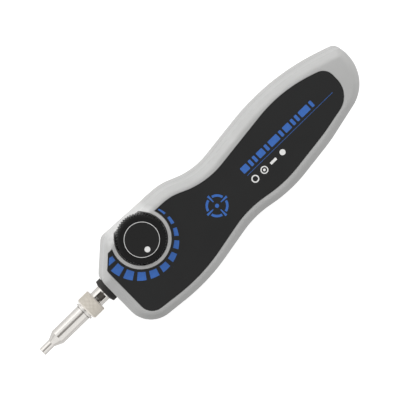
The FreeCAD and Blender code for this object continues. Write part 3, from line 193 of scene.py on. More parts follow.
def loft(sections, closed=False):
    """A closed skin through a row of closed sections: point (i, j) is point j of section i.

    The first and last sections are filled unless the row closes on itself. The skin is turned to face
    outwards, which is where the volume that it holds, a sum of corner . (edge x edge) / 6, is positive.
    """
    rows, columns, _ = sections.shape
    points = sections.reshape(-1, 3)
    quads = grid_faces(rows, columns, closed)
    corner = points[quads] - points.mean(axis=0)
    cross = np.cross(corner[:, 1] - corner[:, 0], corner[:, 2] - corner[:, 0])
    cross += np.cross(corner[:, 2] - corner[:, 0], corner[:, 3] - corner[:, 0])
    outward = np.einsum("ij,ij->", corner[:, 0], cross) > 0
    faces = quads.tolist()
    if not closed:
        faces.append(list(range(columns))[::-1])
        faces.append(list(range((rows - 1) * columns, rows * columns)))
    if not outward:
        faces = [face[::-1] for face in faces]
    return points, faces


def prism(outline, low, high):
    """An upright slab: a flat outline of x and y, carried straight from z = low to z = high."""
    levels = np.array([low, high])
    flat = np.broadcast_to(outline, (2,) + outline.shape)
    height = np.broadcast_to(levels[:, None, None], (2, len(outline), 1))
    return loft(np.concatenate([flat, height], axis=2))


def sector(centre, start, stop, inner, outer, low, high, steps=16):
    """A slab between two radii: at angle a its section is a rectangle from inner(a) to outer(a)."""
    turn = np.linspace(start, stop, steps)
    inner = np.broadcast_to(inner, turn.shape)
    outer = np.broadcast_to(outer, turn.shape)
    radius = np.stack([inner, outer, outer, inner], axis=1)
    height = np.broadcast_to(np.array([low, low, high, high]), radius.shape)
    x = centre[0] + radius * np.cos(turn)[:, None]
    y = centre[1] + radius * np.sin(turn)[:, None]
    return loft(np.stack([x, y, height], axis=2))


def ring(centre, inner, outer, low, high, steps=96):
    """A flat ring: the rectangle between two radii and two heights, carried once round an upright axis."""
    turn = np.linspace(0, 2 * np.pi, steps, endpoint=False)[:, None]
    radius = np.broadcast_to(np.array([inner, outer, outer, inner]), (steps, 4))
    height = np.broadcast_to(np.array([low, low, high, high]), (steps, 4))
    x = centre[0] + radius * np.cos(turn)
    y = centre[1] + radius * np.sin(turn)
    return loft(np.stack([x, y, height], axis=2), closed=True)


def rounded_bar(x0, x1, y0, y1, radius, steps=6):
    """Outline of a bar with round corners: a quarter circle about each corner's centre in turn."""
    quarter = np.linspace(0, np.pi / 2, steps)
    centres = np.array([(x1 - radius, y1 - radius), (x0 + radius, y1 - radius),
                        (x0 + radius, y0 + radius), (x1 - radius, y0 + radius)])
    turn = quarter[None, :] + (np.arange(4) * np.pi / 2)[:, None]
    arc = np.stack([np.cos(turn), np.sin(turn)], axis=2) * radius
    return (centres[:, None, :] + arc).reshape(-1, 2)


def disc_outline(centre, radius, steps=48):
    """Outline of a disc: centre + radius (cos a, sin a)."""
    turn = np.linspace(0, 2 * np.pi, steps, endpoint=False)
    return np.asarray(centre) + radius * np.stack([np.cos(turn), np.sin(turn)], axis=1)


def wave(phase):
    """A triangle wave: 0 at whole numbers, 1 half way between them."""
    return 1 - np.abs(2 * (phase - np.floor(phase)) - 1)


def around_axis(x, radius, turn):
    """Points at distance radius from the optical axis: y = radius sin a, z = radius cos a about it."""
    return np.stack([x, AXIS_Y + radius * np.sin(turn), AXIS_Z + radius * np.cos(turn)], axis=-1)


def new_object(name, data):
    """An object in the scene."""
    obj = bpy.data.objects.new(name, data)
    bpy.context.scene.collection.objects.link(obj)
    return obj


SHARP_EDGE = math.radians(32)


def piece(name, parts, finish_name, body):
    """One object from several skins, with its place in its mesh, riding on a body."""
    points = np.concatenate([part[0] for part in parts])
    starts = np.cumsum([0] + [len(part[0]) for part in parts])
    faces = [[corner + start for corner in face]
             for start, part in zip(starts.tolist(), parts) for face in part[1]]
    mesh = bpy.data.meshes.new(name)
    mesh.from_pydata(points.tolist(), [], faces)
    mesh.shade_smooth()
    mesh.set_sharp_from_angle(angle=SHARP_EDGE)
    mesh.materials.append(finish(finish_name))
    obj = new_object(name, mesh)
    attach(obj, body)
    return obj


# Shader nodes

def add(tree, kind, inputs=None, **values):
    """A shader node with its settings; an input is a plain value or another node's output."""
    made = tree.nodes.new(kind)
    for key, value in values.items():
        setattr(made, key, value)
    for key, value in (inputs or {}).items():
        if isinstance(value, bpy.types.NodeSocket):
            tree.links.new(value, made.inputs[key])
        else:
            made.inputs[key].default_value = value
    return made


def math_node(tree, operation, first, second=0.0):
    return add(tree, "ShaderNodeMath", {0: first, 1: second}, operation=operation).outputs[0]


def times(tree, first, second):
    return math_node(tree, "MULTIPLY", first, second)


def component(tree, vector, axis):
    return add(tree, "ShaderNodeSeparateXYZ", {0: vector}).outputs[axis]


def spread(tree, value, low, high, to_low=0.0, to_high=1.0):
    """A value mapped from one range to another, held at the ends."""
    return add(tree, "ShaderNodeMapRange", {
        "Value": value, "From Min": low, "From Max": high, "To Min": to_low, "To Max": to_high,
    }).outputs["Result"]


def blend(tree, factor, first, second):
    """A colour between two colours."""
    made = add(tree, "ShaderNodeMix", {0: factor, 6: first, 7: second}, data_type="RGBA")
    return made.outputs[2]


def weighted(tree, first, second, weight):
    """Two numbers mixed, with a weight from 0 to 1 for the first."""
    return math_node(tree, "ADD", times(tree, first, weight), times(tree, second, 1 - weight))


def noise(tree, vector, scale, detail=2.0, roughness=0.5):
    return add(tree, "ShaderNodeTexNoise", {
        "Vector": vector, "Scale": scale, "Detail": detail, "Roughness": roughness,
    }).outputs["Fac"]


def full(rgb, factor=1.0):
    """A colour with its alpha, made lighter or darker by a factor."""
    return tuple(min(1.0, part * factor) for part in rgb) + (1.0,)


def new_group(name, numbers, outputs):
    """An empty shader group that takes a place and some numbers, and gives numbers."""
    group = bpy.data.node_groups.new(name, "ShaderNodeTree")
    group.interface.new_socket("Place", in_out="INPUT", socket_type="NodeSocketVector")
    for label in numbers:
        group.interface.new_socket(label, in_out="INPUT", socket_type="NodeSocketFloat")
    for label in outputs:
        group.interface.new_socket(label, in_out="OUTPUT", socket_type="NodeSocketFloat")
    return group, group.nodes.new("NodeGroupInput").outputs, group.nodes.new("NodeGroupOutput").inputs


# Shares of the parts that make up a shared effect, and how much finer its second part is
GRAIN_CELLS = 0.6
GRAIN_FINER = 2.3
SHEEN_RINGS = 0.5
RING_STRETCH = (1.0, 0.02, 0.02)
SHEEN_SCALE = 160.0
SMEAR_SCALE = 55.0
DUST_SCALE = 420.0
DUST_PATCHES = 90.0


def moulded_grain():
    """Moulded skin: a fine leathery grain as height, and a slow cloudiness as mottle."""
    group, given, put = new_group("moulded_grain", ["Grain", "Cloud"], ["Height", "Mottle"])
    cells = add(group, "ShaderNodeTexVoronoi", {"Vector": given["Place"], "Scale": given["Grain"]},
                feature="SMOOTH_F1").outputs["Distance"]
    finer = times(group, given["Grain"], GRAIN_FINER)
    fine = noise(group, given["Place"], finer, detail=3.0)
    group.links.new(weighted(group, cells, fine, GRAIN_CELLS), put["Height"])
    group.links.new(noise(group, given["Place"], given["Cloud"], detail=4.0, roughness=0.6), put["Mottle"])
    return group


def turned_marks():
    """Lathe marks: fine rings along the optical axis as height, and their uneven shine as sheen."""
    group, given, put = new_group("turned_marks", ["Rings"], ["Height", "Sheen"])
    along = add(group, "ShaderNodeMapping", {"Vector": given["Place"], "Scale": RING_STRETCH}).outputs[0]
    height = noise(group, along, given["Rings"], detail=3.0, roughness=0.7)
    slow = noise(group, given["Place"], SHEEN_SCALE, detail=3.0)
    group.links.new(height, put["Height"])
    group.links.new(weighted(group, height, slow, SHEEN_RINGS), put["Sheen"])
    return group


def handling():
    """Traces of use: soft smears as smear, and sparse specks of dust as dust."""
    group, given, put = new_group("handling", [], ["Smear", "Dust"])
    smear = noise(group, given["Place"], SMEAR_SCALE, detail=5.0, roughness=0.65)
    cells = add(group, "ShaderNodeTexVoronoi", {"Vector": given["Place"], "Scale": DUST_SCALE})
    specks = spread(group, cells.outputs["Distance"], low=0.10, high=0.04)
    patches = spread(group, noise(group, given["Place"], DUST_PATCHES), low=0.5, high=0.7)
    dust = times(group, specks, patches)
    group.links.new(smear, put["Smear"])
    group.links.new(dust, put["Dust"])
    return group


GROUPS = {"moulded_grain": moulded_grain, "turned_marks": turned_marks, "handling": handling}


def use_group(tree, name, place, **numbers):
    """A shared effect in a material, built the first time that it is asked for."""
    group = bpy.data.node_groups.get(name) or GROUPS[name]()
    return add(tree, "ShaderNodeGroup", {"Place": place, **numbers}, node_tree=group).outputs


def new_finish(name, **constants):
    """A material with one Principled shader; constants are set on the shader's own sockets."""
    material = bpy.data.materials.new(name)
    material.use_nodes = True
    tree = material.node_tree
    tree.nodes.clear()
    surface = tree.nodes.new("ShaderNodeBsdfPrincipled")
    output = tree.nodes.new("ShaderNodeOutputMaterial")
    tree.links.new(surface.outputs[0], output.inputs["Surface"])
    for key, value in constants.items():
        surface.inputs[key.replace("_", " ")].default_value = value
    place = tree.nodes.new("ShaderNodeTexCoord").outputs["Object"]
    return material, tree, surface.inputs, place


def bump(tree, height, distance):
    return add(tree, "ShaderNodeBump", {"Height": height, "Distance": distance}).outputs[0]


def wire(tree, shader, tone, roughness, normal=None):
    """Links a finish's colour, roughness and bump to its shader."""
    tree.links.new(tone, shader["Base Color"])
    tree.links.new(roughness, shader["Roughness"])
    if normal is not None:
        tree.links.new(normal, shader["Normal"])


# Finishes

NOISE_LOW = 0.3
NOISE_HIGH = 0.7
SMEAR_ROUGHNESS = 0.06
PLASTIC_CLOUD = 70.0
PLASTIC_DUST = 0.25
PLASTIC_DUST_TONE = (0.5, 0.49, 0.47, 1.0)


def from_noise(tree, value, to_low=0.0, to_high=1.0):
    """A noise value, which keeps to the middle of its range, spread over a range."""
    return spread(tree, value, NOISE_LOW, NOISE_HIGH, to_low, to_high)


def mottled(tree, value, rgb, darker, lighter):
    """A colour that a noise value makes darker and lighter by two factors."""
    return blend(tree, from_noise(tree, value), full(rgb, darker), full(rgb, lighter))


def moulded(name, rgb, grain, depth, rough, specular=0.5):
    """Moulded plastic with a fine grain, a slight cloudiness and traces of use."""
    material, tree, shader, place = new_finish(name, Specular_IOR_Level=specular)
    skin = use_group(tree, "moulded_grain", place, Grain=grain, Cloud=PLASTIC_CLOUD)
    used = use_group(tree, "handling", place)
    clouded = mottled(tree, skin["Mottle"], rgb, darker=0.96, lighter=1.04)
    dust = times(tree, used["Dust"], PLASTIC_DUST)
    tone = blend(tree, dust, clouded, PLASTIC_DUST_TONE)
    roughness = from_noise(tree, used["Smear"], rough - SMEAR_ROUGHNESS, rough + SMEAR_ROUGHNESS)
    wire(tree, shader, tone, roughness, bump(tree, skin["Height"], depth))
    return material


def off_axis(tree, place, point, square):
    """Distance from an axis through a point; square has 1 for directions square to it and 0 along it."""
    off = add(tree, "ShaderNodeVectorMath", {0: place, 1: point}, operation="SUBTRACT").outputs[0]
    flat = add(tree, "ShaderNodeVectorMath", {0: off, 1: square}, operation="MULTIPLY").outputs[0]
    return add(tree, "ShaderNodeVectorMath", {0: flat}, operation="LENGTH").outputs["Value"]


def tint_by_mask(material, tone, mask_of):
    """Lays a colour over a finish by a mask that mask_of works out from the object's coordinates: grime, and
    also painted light and painted shade.
    """
    tree = material.node_tree
    shader = tree.nodes["Principled BSDF"].inputs
    plain = shader["Base Color"].links[0].from_socket
    place = add(tree, "ShaderNodeTexCoord").outputs["Object"]
    tree.links.new(blend(tree, mask_of(tree, place), plain, tone), shader["Base Color"])
    return material


# The parting line and the painted light round the knob: where each fades in, how far the line covers, and
# the factor each puts on the shell's colour
SEAM_EDGE = 0.32 * MM
SEAM_CORE = 0.05 * MM
SEAM_COVER = 0.55
SEAM_SHADE = 0.35
PAINTED_LIGHT_FULL = 10.7 * MM
PAINTED_LIGHT_FADE = 12.6 * MM
PAINTED_LIGHT_FACTOR = 1.26


def shell_plastic(name):
    """Light grey moulded plastic, darker in the parting line, with painted light on the ring round the knob
    where the knob's shade falls.
    """
    def seam(tree, place):
        height = component(tree, place, "Z")
        off = math_node(tree, "ABSOLUTE", math_node(tree, "SUBTRACT", height, PARTING_Z))
        return spread(tree, off, SEAM_EDGE, SEAM_CORE, 0.0, SEAM_COVER)

    # Painted light: the shell is made lighter in a ring round the knob, where the knob's shade falls on it.
    def painted_light_round_knob(tree, place):
        radius = off_axis(tree, place, (*KNOB_CENTRE, 0.0), (1.0, 1.0, 0.0))
        return spread(tree, radius, PAINTED_LIGHT_FADE, PAINTED_LIGHT_FULL)

    rgb = settings().housing.shell
    plain = moulded(name, rgb, grain=3600.0, depth=0.024 * MM, rough=0.46)
    return tint_by_mask(tint_by_mask(plain, full(rgb, SEAM_SHADE), seam), full(rgb, PAINTED_LIGHT_FACTOR), painted_light_round_knob)


def knob_plastic(name):
    return moulded(name, settings().housing.knob, grain=5200.0, depth=0.010 * MM, rough=0.46, specular=0.19)


def cap_plastic(name):
    return moulded(name, settings().housing.cap, grain=7000.0, depth=0.006 * MM, rough=0.42, specular=0.24)


RUBBER_GRAIN = 4200.0
RUBBER_DEPTH = 0.014 * MM
RUBBER_ROUGHNESS = 0.55
RIB_PITCH = 1.5 * MM
RIB_DEPTH = 0.1 * MM


def collar_rubber(name):
    rgb = (0.030, 0.0285, 0.027)
    return moulded(name, rgb, RUBBER_GRAIN, RUBBER_DEPTH, RUBBER_ROUGHNESS, specular=0.2)


def pad_rubber(name):
    """Black rubber with fine ribs across the pad: height sin(2 pi x / pitch)."""
    rgb = (0.020, 0.020, 0.020)
    material = moulded(name, rgb, RUBBER_GRAIN, RUBBER_DEPTH, RUBBER_ROUGHNESS, specular=0.35)
    tree = material.node_tree
    shader = tree.nodes["Principled BSDF"].inputs
    place = add(tree, "ShaderNodeTexCoord").outputs["Object"]
    along = component(tree, place, "X")
    ribs = math_node(tree, "SINE", times(tree, along, 2 * math.pi / RIB_PITCH))
    grain = shader["Normal"].links[0].from_socket
    ribbed = add(tree, "ShaderNodeBump", {"Height": ribs, "Distance": RIB_DEPTH, "Normal": grain})
    tree.links.new(ribbed.outputs[0], shader["Normal"])
    return material


def slide_plastic(name):
    return moulded(name, rgb=(0.55, 0.54, 0.50), grain=5000.0, depth=0.006 * MM, rough=0.4)


def chip_black(name):
    return moulded(name, rgb=(0.02, 0.02, 0.022), grain=9000.0, depth=0.006 * MM, rough=0.55)


def lens_black(name):
    return moulded(name, rgb=(0.105, 0.092, 0.078), grain=7000.0, depth=0.006 * MM, rough=0.5)


FILM_DUST = 0.05
FILM_DUST_TONE = (0.4, 0.4, 0.4, 1.0)
FILM_TOOTH = 0.004 * MM


def overlay_film(name):
    """Dark printed film with a satin face: a very fine tooth and faint finger marks."""
    material, tree, shader, place = new_finish(name, Specular_IOR_Level=0.3)
    used = use_group(tree, "handling", place)
    skin = use_group(tree, "moulded_grain", place, Grain=9000.0, Cloud=45.0)
    clouded = mottled(tree, skin["Mottle"], settings().housing.overlay, darker=0.92, lighter=1.10)
    tone = blend(tree, times(tree, used["Dust"], FILM_DUST), clouded, FILM_DUST_TONE)
    roughness = from_noise(tree, used["Smear"], to_low=0.34, to_high=0.44)
    wire(tree, shader, tone, roughness, bump(tree, skin["Height"], FILM_TOOTH))
    return material


INK_TOOTH = 0.003 * MM


def ink(name, rgb):
    """Screen-printed ink: slightly uneven cover and a fine mesh tooth."""
    material, tree, shader, place = new_finish(name, Specular_IOR_Level=0.3)
    skin = use_group(tree, "moulded_grain", place, Grain=12000.0, Cloud=900.0)
    tone = mottled(tree, skin["Mottle"], rgb, darker=0.94, lighter=1.06)
    roughness = from_noise(tree, skin["Mottle"], to_low=0.38, to_high=0.48)
    wire(tree, shader, tone, roughness, bump(tree, skin["Height"], INK_TOOTH))
    return material


def scale_ink(name):
    return ink(name, settings().housing.scale_ink)


def mark_ink(name):
    return ink(name, settings().housing.mark_ink)


# Turned metal: where smears begin, and how far its roughness falls and rises along the rings
METAL_SMEAR = 0.35
SHEEN_FALL = 0.05
SHEEN_RISE = 0.07


def turned_metal(name, rgb, rings, rough, depth):
    """Turned metal: fine rings in the bump, and a shine that varies along them."""
    material, tree, shader, place = new_finish(name, Metallic=1.0)
    marks = use_group(tree, "turned_marks", place, Rings=rings)
    used = use_group(tree, "handling", place)
    smear = spread(tree, used["Smear"], METAL_SMEAR, NOISE_HIGH)
    tone = blend(tree, smear, full(rgb, factor=1.02), full(rgb, factor=0.94))
    roughness = from_noise(tree, marks["Sheen"], rough - SHEEN_FALL, rough + SHEEN_RISE)
    wire(tree, shader, tone, roughness, bump(tree, marks["Height"], depth))
    return material


NICKEL_RINGS = 5200.0
NICKEL_DEPTH = 0.0015 * MM


def nickel(name, rgb, rough):
    """Nickel plate over turned metal."""
    return turned_metal(name, rgb, NICKEL_RINGS, rough, NICKEL_DEPTH)


def nickel_plate(name):
    return nickel(name, settings().nose.nickel, rough=0.20)


def ring_nickel(name):
    return nickel(name, settings().nose.nickel, rough=0.36)


# The painted shade in the corner in front of the ring: where the dark line begins, is full and ends ahead of
# the ring's face
CORNER_START = 0.34 * MM
CORNER_FULL = 0.22 * MM
CORNER_END = -0.05 * MM
CORNER_SHADE_TONE = (0.06, 0.055, 0.05, 1.0)
CORNER_GRAIN = 700.0


def barrel_nickel(name):
    """Nickel of the tip, with a painted shade line in the corner in front of the ring that keeps the nut."""
    # Painted shade: a dark, patchy line in the corner where the ring's shade falls on the barrel.
    def corner(tree, place):
        along = component(tree, place, "X")
        ahead = math_node(tree, "SUBTRACT", RING_FRONT_X, along)
        front = spread(tree, ahead, CORNER_START, CORNER_FULL)
        back = spread(tree, ahead, CORNER_END, 0.0)
        grain = noise(tree, place, CORNER_GRAIN)
        patches = spread(tree, grain, low=0.3, high=0.6, to_low=0.35, to_high=0.9)
        return times(tree, times(tree, front, back), patches)

    return tint_by_mask(nickel(name, settings().nose.nickel, rough=0.23), CORNER_SHADE_TONE, corner)


# Grime and painted shade in the knurl, by depth as a share of the grooves: where it begins and is full, and
# where the band ends
DIRT_AND_SHADE_START = 0.3
DIRT_AND_SHADE_FULL = 0.8
DIRT_AND_SHADE_COVER = 0.85
BAND_DEPTH = 1.1


def knurled_nickel(name):
    """Nickel over the fine knurl, duller than the turned faces, with grime and painted shade in the grooves.
    """
    nose = settings().nose

    # Grime and painted shade: the knurl is darker the deeper its grooves go.
    def grooves(tree, place):
        radius = off_axis(tree, place, (0.0, AXIS_Y, AXIS_Z), (0.0, 1.0, 1.0))
        below = math_node(tree, "DIVIDE", math_node(tree, "SUBTRACT", NUT_RADIUS, radius), nose.knurl_depth)
        band = math_node(tree, "LESS_THAN", below, BAND_DEPTH)
        dirt_and_shade = spread(tree, below, DIRT_AND_SHADE_START, DIRT_AND_SHADE_FULL, 0.0, DIRT_AND_SHADE_COVER)
        return times(tree, dirt_and_shade, band)

    return tint_by_mask(nickel(name, nose.knurl_nickel, rough=0.46), full(nose.groove), grooves)


def bush_brass(name):
    return turned_metal(name, rgb=(0.72, 0.50, 0.20), rings=6000.0, rough=0.24, depth=0.003 * MM)


def steel(name):
    return turned_metal(name, rgb=(0.56, 0.56, 0.57), rings=7000.0, rough=0.28, depth=0.003 * MM)


def frame_alloy(name):
    """Cast and milled light alloy, with a fine blasted skin."""
    material = moulded(name, rgb=(0.62, 0.62, 0.63), grain=8000.0, depth=0.010 * MM, rough=0.42)
    material.node_tree.nodes["Principled BSDF"].inputs["Metallic"].default_value = 1.0
    return material


GLASS_CLEAR = (0.96, 0.98, 0.97, 1.0)
GLASS_DUST = (0.80, 0.84, 0.88, 1.0)


def optical_glass(name):
    """Clear coated glass, with the faintest haze of dust."""
    material, tree, shader, place = new_finish(
        name, IOR=1.52, Transmission_Weight=1.0, Coat_Weight=0.3, Coat_Roughness=0.03)
    used = use_group(tree, "handling", place)
    tone = blend(tree, used["Dust"], GLASS_CLEAR, GLASS_DUST)
    wire(tree, shader, tone, spread(tree, used["Smear"], low=0.3, high=0.8, to_low=0.01, to_high=0.05))
    return material


RESIN_COOL = (0.85, 0.88, 0.92, 1.0)
RESIN_WARM = (0.95, 0.94, 0.80, 1.0)


def lamp_resin(name):
    """Clear pale resin of the lamp, slightly cloudy."""
    material, tree, shader, place = new_finish(name, IOR=1.5, Transmission_Weight=0.6)
    skin = use_group(tree, "moulded_grain", place, Grain=8000.0, Cloud=900.0)
    tone = blend(tree, skin["Mottle"], RESIN_COOL, RESIN_WARM)
    wire(tree, shader, tone, from_noise(tree, skin["Mottle"], to_low=0.10, to_high=0.22))
    return material


MASK_GREEN = (0.008, 0.075, 0.030, 1.0)
TRACK_GREEN = (0.020, 0.16, 0.055, 1.0)
PAD_TIN = (0.62, 0.60, 0.55, 1.0)
PAD_EDGE = 0.16
PAD_CORE = 0.12
TRACK_HEIGHT = 0.02 * MM


def board_laminate(name):
    """Green board: tracks in a lighter green under the mask, and tinned pads."""
    material, tree, shader, place = new_finish(name)
    tracks = add(tree, "ShaderNodeTexBrick", {
        "Vector": place, "Scale": 320.0, "Mortar Size": 0.012, "Brick Width": 0.9, "Row Height": 0.32,
        "Color1": (0.0, 0.0, 0.0, 1.0), "Color2": (0.2, 0.2, 0.2, 1.0), "Mortar": WHITE,
    }, offset=0.37).outputs["Color"]
    dots = add(tree, "ShaderNodeTexVoronoi", {"Vector": place, "Scale": 520.0}).outputs["Distance"]
    pads = spread(tree, dots, PAD_EDGE, PAD_CORE)
    mask = blend(tree, tracks, MASK_GREEN, TRACK_GREEN)
    roughness = spread(tree, pads, low=0.0, high=1.0, to_low=0.32, to_high=0.25)
    raised = add(tree, "ShaderNodeRGBToBW", {0: tracks}).outputs[0]
    wire(tree, shader, blend(tree, pads, mask, PAD_TIN), roughness, bump(tree, raised, TRACK_HEIGHT))
    tree.links.new(pads, shader["Metallic"])
    return material


RIBBON_AMBER = (0.50, 0.22, 0.03, 1.0)
RIBBON_LINE = (0.30, 0.10, 0.015, 1.0)
RIBBON_PITCH = 0.5 * MM
RIBBON_HEIGHT = 0.02 * MM


def ribbon_film(name):
    """Amber ribbon with darker conductors along it."""
    material, tree, shader, place = new_finish(name)
    across = component(tree, place, "Y")
    stripe = math_node(tree, "PINGPONG", times(tree, across, 1 / RIBBON_PITCH), 0.5)
    lines = spread(tree, stripe, low=0.2, high=0.3)
    tone = blend(tree, lines, RIBBON_AMBER, RIBBON_LINE)
    roughness = spread(tree, lines, low=0.0, high=1.0, to_low=0.30, to_high=0.22)
    wire(tree, shader, tone, roughness, bump(tree, lines, RIBBON_HEIGHT))
    return material


FINISHES = {made.__name__: made for made in (
    shell_plastic, knob_plastic, cap_plastic, collar_rubber, pad_rubber, slide_plastic, chip_black,
    lens_black, overlay_film, scale_ink, mark_ink, nickel_plate, ring_nickel, barrel_nickel,
    knurled_nickel, bush_brass, steel, frame_alloy, optical_glass, lamp_resin, board_laminate,
    ribbon_film)}


made_finishes = {}


def finish(name):
    """A finish by name, made the first time that it is asked for."""
    if name not in made_finishes:
        made_finishes[name] = FINISHES[name](name)
    return made_finishes[name]


def dress(finish_name, *names):
    """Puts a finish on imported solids."""
    for name in names:
        slots = NODES[name].material_slots
        if not slots:
            raise RuntimeError(f"{name} has no material slot")
        for slot in slots:
            slot.material = finish(finish_name)


# Operators, one for each group of pieces

class MICROSCOPE_OT_housing(bpy.types.Operator):
    """Finish the two shells, their screws and the socket in the tail"""

    bl_idname = "microscope.housing"
    bl_label = "Housing"

    def execute(self, context):
        dress("shell_plastic", "upper_shell", "lower_shell")
        dress("pad_rubber", "grip_pads")
        dress("steel", "shell_screws", "data_socket")
        return {"FINISHED"}


# Corners of the sheet's cut edge beside the scale, and the printed places on the sheet
CUT_EDGE = np.array([(-40.0, 9.69), (-35.2, 14.29)]) * MM
GROWTH_POWER = 0.8
WEDGE_LEAD = 0.35
BAR_ROW = (20.4 * MM, 56.1 * MM, -0.01 * MM, 2.56 * MM)
BAR_WIDTHS = np.array([3.0, 1.2, 1.2, 3.0, 1.2, 4.4, 1.2, 3.0, 1.2, 1.2, 4.4, 1.2]) * MM
BAR_CORNER = 0.3 * MM
FINE_LINE = (20.7 * MM, 63.9 * MM, -1.18 * MM, -1.04 * MM)
LINE_CORNER = 0.05 * MM
SIGN_START = (22.0 * MM, -4.0 * MM)
SIGN_STEP = 4.6 * MM
SIGN_RADIUS = 1.45 * MM
RING_SIGN_LINE = 0.45 * MM
DOT_SIGN_LINE = 0.4 * MM
DOT_SIGN_RADIUS = 0.5 * MM
BAR_SIGN_HALF = 0.5 * MM
BAR_SIGN_CORNER = 0.2 * MM
DISC_SIGN_RADIUS = 1.1 * MM
RETICLE_CENTRE = (5.2 * MM, -1.3 * MM)
RETICLE_RADIUS = 4.2 * MM
RETICLE_LINE = 0.9 * MM
RETICLE_GAP = 0.24
RETICLE_DOT = 0.75 * MM
TICK_HALF = 0.09
TICK_START = 1.9 * MM
TICK_PAST = 0.7 * MM


class MICROSCOPE_OT_overlay(bpy.types.Operator):
    """Finish the dark sheet and print its focus scale, its bars and its plain signs"""

    bl_idname = "microscope.overlay"
    bl_label = "Overlay and print"

    def focus_scale(self, low, high):
        """Blocks round the knob that grow from one to the next, kept off the sheet's cut edge.

        Block i stands at first + step i + closing i (i - 1) / 2. The blocks end on one growing curve,
        outer + growth s ^ 0.8, where s counts the blocks along it. Along the ray at angle a, the cut edge
        lies at cross(p, e) / cross(u(a), e) from the knob's centre, where p is a point on it from there,
        e its direction and u(a) the ray.
        """
        scale = settings().scale
        start = CUT_EDGE[0] - KNOB_CENTRE
        edge = CUT_EDGE[1] - CUT_EDGE[0]
        count = np.arange(scale.blocks)
        middles = scale.first + scale.step * count + scale.closing * count * (count - 1) / 2
        middles[-1] = middles[-2] + scale.last_step
        widths = np.full(scale.blocks, scale.width)
        widths[-1] = scale.last_width
        parts = []
        for i, middle, width in zip(count, middles, widths):
            turn = np.linspace(middle - width / 2, middle + width / 2, 16)
            along = i + WEDGE_LEAD + (turn - middle) / scale.step
            end = scale.outer + scale.growth * along ** GROWTH_POWER
            across = np.cos(turn) * edge[1] - np.sin(turn) * edge[0]
            reach = (start[0] * edge[1] - start[1] * edge[0]) / across
            reach = np.where(reach > 0, reach, np.inf) - scale.edge_margin
            outer = np.minimum(end, reach)
            parts.append(sector(KNOB_CENTRE, turn[0], turn[-1], scale.inner, outer, low, high))
        return parts

    def bars(self, low, high):
        """A row of bars of several widths, spaced evenly, where the photograph has a line of print."""
        x0, x1, y0, y1 = BAR_ROW
        gap = (x1 - x0 - BAR_WIDTHS.sum()) / (len(BAR_WIDTHS) - 1)
        starts = x0 + np.concatenate([[0.0], np.cumsum(BAR_WIDTHS[:-1] + gap)])
        parts = [prism(rounded_bar(x, x + width, y0, y1, BAR_CORNER), low, high)
                 for x, width in zip(starts, BAR_WIDTHS)]
        x0, x1, y0, y1 = FINE_LINE
        parts.append(prism(rounded_bar(x0, x1, y0, y1, LINE_CORNER), low, high))
        return parts

    def reticle(self, low, high):
        """An aiming mark: a ring in four quarters, four ticks and a dot."""
        quarter = math.pi / 2
        line_inner = RETICLE_RADIUS - RETICLE_LINE
        tick_end = RETICLE_RADIUS + TICK_PAST
        parts = []
        for i in range(4):
            turn = i * quarter
            parts.append(sector(RETICLE_CENTRE, turn + RETICLE_GAP, turn + quarter - RETICLE_GAP,
                                line_inner, RETICLE_RADIUS, low, high, steps=24))
            parts.append(sector(RETICLE_CENTRE, turn - TICK_HALF, turn + TICK_HALF,
                                TICK_START, tick_end, low, high, steps=4))
        parts.append(prism(disc_outline(RETICLE_CENTRE, RETICLE_DOT), low, high))
        return parts

    def signs(self, low, high):
        """Four plain white signs in a row: a ring, a dot in a ring, a bar and a disc."""
        spots = [(SIGN_START[0] + i * SIGN_STEP, SIGN_START[1]) for i in range(4)]
        x, y = spots[2]
        bar = rounded_bar(x - SIGN_RADIUS, x + SIGN_RADIUS,
                          y - BAR_SIGN_HALF, y + BAR_SIGN_HALF, BAR_SIGN_CORNER)
        return [
            ring(spots[0], SIGN_RADIUS - RING_SIGN_LINE, SIGN_RADIUS, low, high),
            ring(spots[1], SIGN_RADIUS - DOT_SIGN_LINE, SIGN_RADIUS, low, high),
            prism(disc_outline(spots[1], DOT_SIGN_RADIUS), low, high),
            prism(bar, low, high),
            prism(disc_outline(spots[3], DISC_SIGN_RADIUS), low, high),
        ]

    def execute(self, context):
        dress("overlay_film", "face_overlay")
        low = OVERLAY_TOP
        high = low + settings().scale.ink
        piece("focus_scale", self.focus_scale(low, high), "scale_ink", "housing")
        piece("overlay_bars", self.bars(low, high), "scale_ink", "housing")
        piece("overlay_reticle", self.reticle(low, high), "scale_ink", "housing")
        piece("overlay_signs", self.signs(low, high), "mark_ink", "housing")
        return {"FINISHED"}


# The knob's marks: the painted groove and the painted dot
MARK_GROOVE = 6.355 * MM
RING_PAINT = 0.19 * MM
MARK_DEPTH = 0.3 * MM
MARK_FILL = 0.26 * MM
DOT_RADIUS = 1.1 * MM
DOT_PLACE = 4.07 * MM
DOT_TURN = math.radians(-104.0)
PAINT_GAP = 0.01 * MM


class MICROSCOPE_OT_focus_drive(bpy.types.Operator):
    """Finish the focus knob, paint its ring and dot, and finish the shaft below it"""

    bl_idname = "microscope.focus_drive"
    bl_label = "Focus drive"

    def execute(self, context):
        dress("knob_plastic", "focus_knob")
        dress("cap_plastic", "knob_cap")
        dress("steel", "knob_screw", "focus_shaft")
        dress("bush_brass", "shaft_bush")
        dress("slide_plastic", "friction_washer")
        floor = KNOB_TOP - MARK_DEPTH
        paint_top = floor + MARK_FILL
        inner = MARK_GROOVE + PAINT_GAP
        dot = KNOB_CENTRE + DOT_PLACE * np.array([math.cos(DOT_TURN), math.sin(DOT_TURN)])
        ring_paint = ring(KNOB_CENTRE, inner, inner + RING_PAINT, floor, paint_top, steps=128)
        dot_paint = prism(disc_outline(dot, DOT_RADIUS - PAINT_GAP), floor, paint_top)
        piece("knob_ring", [ring_paint], "mark_ink", "knob")
        piece("knob_dot", [dot_paint], "mark_ink", "knob")
        return {"FINISHED"}


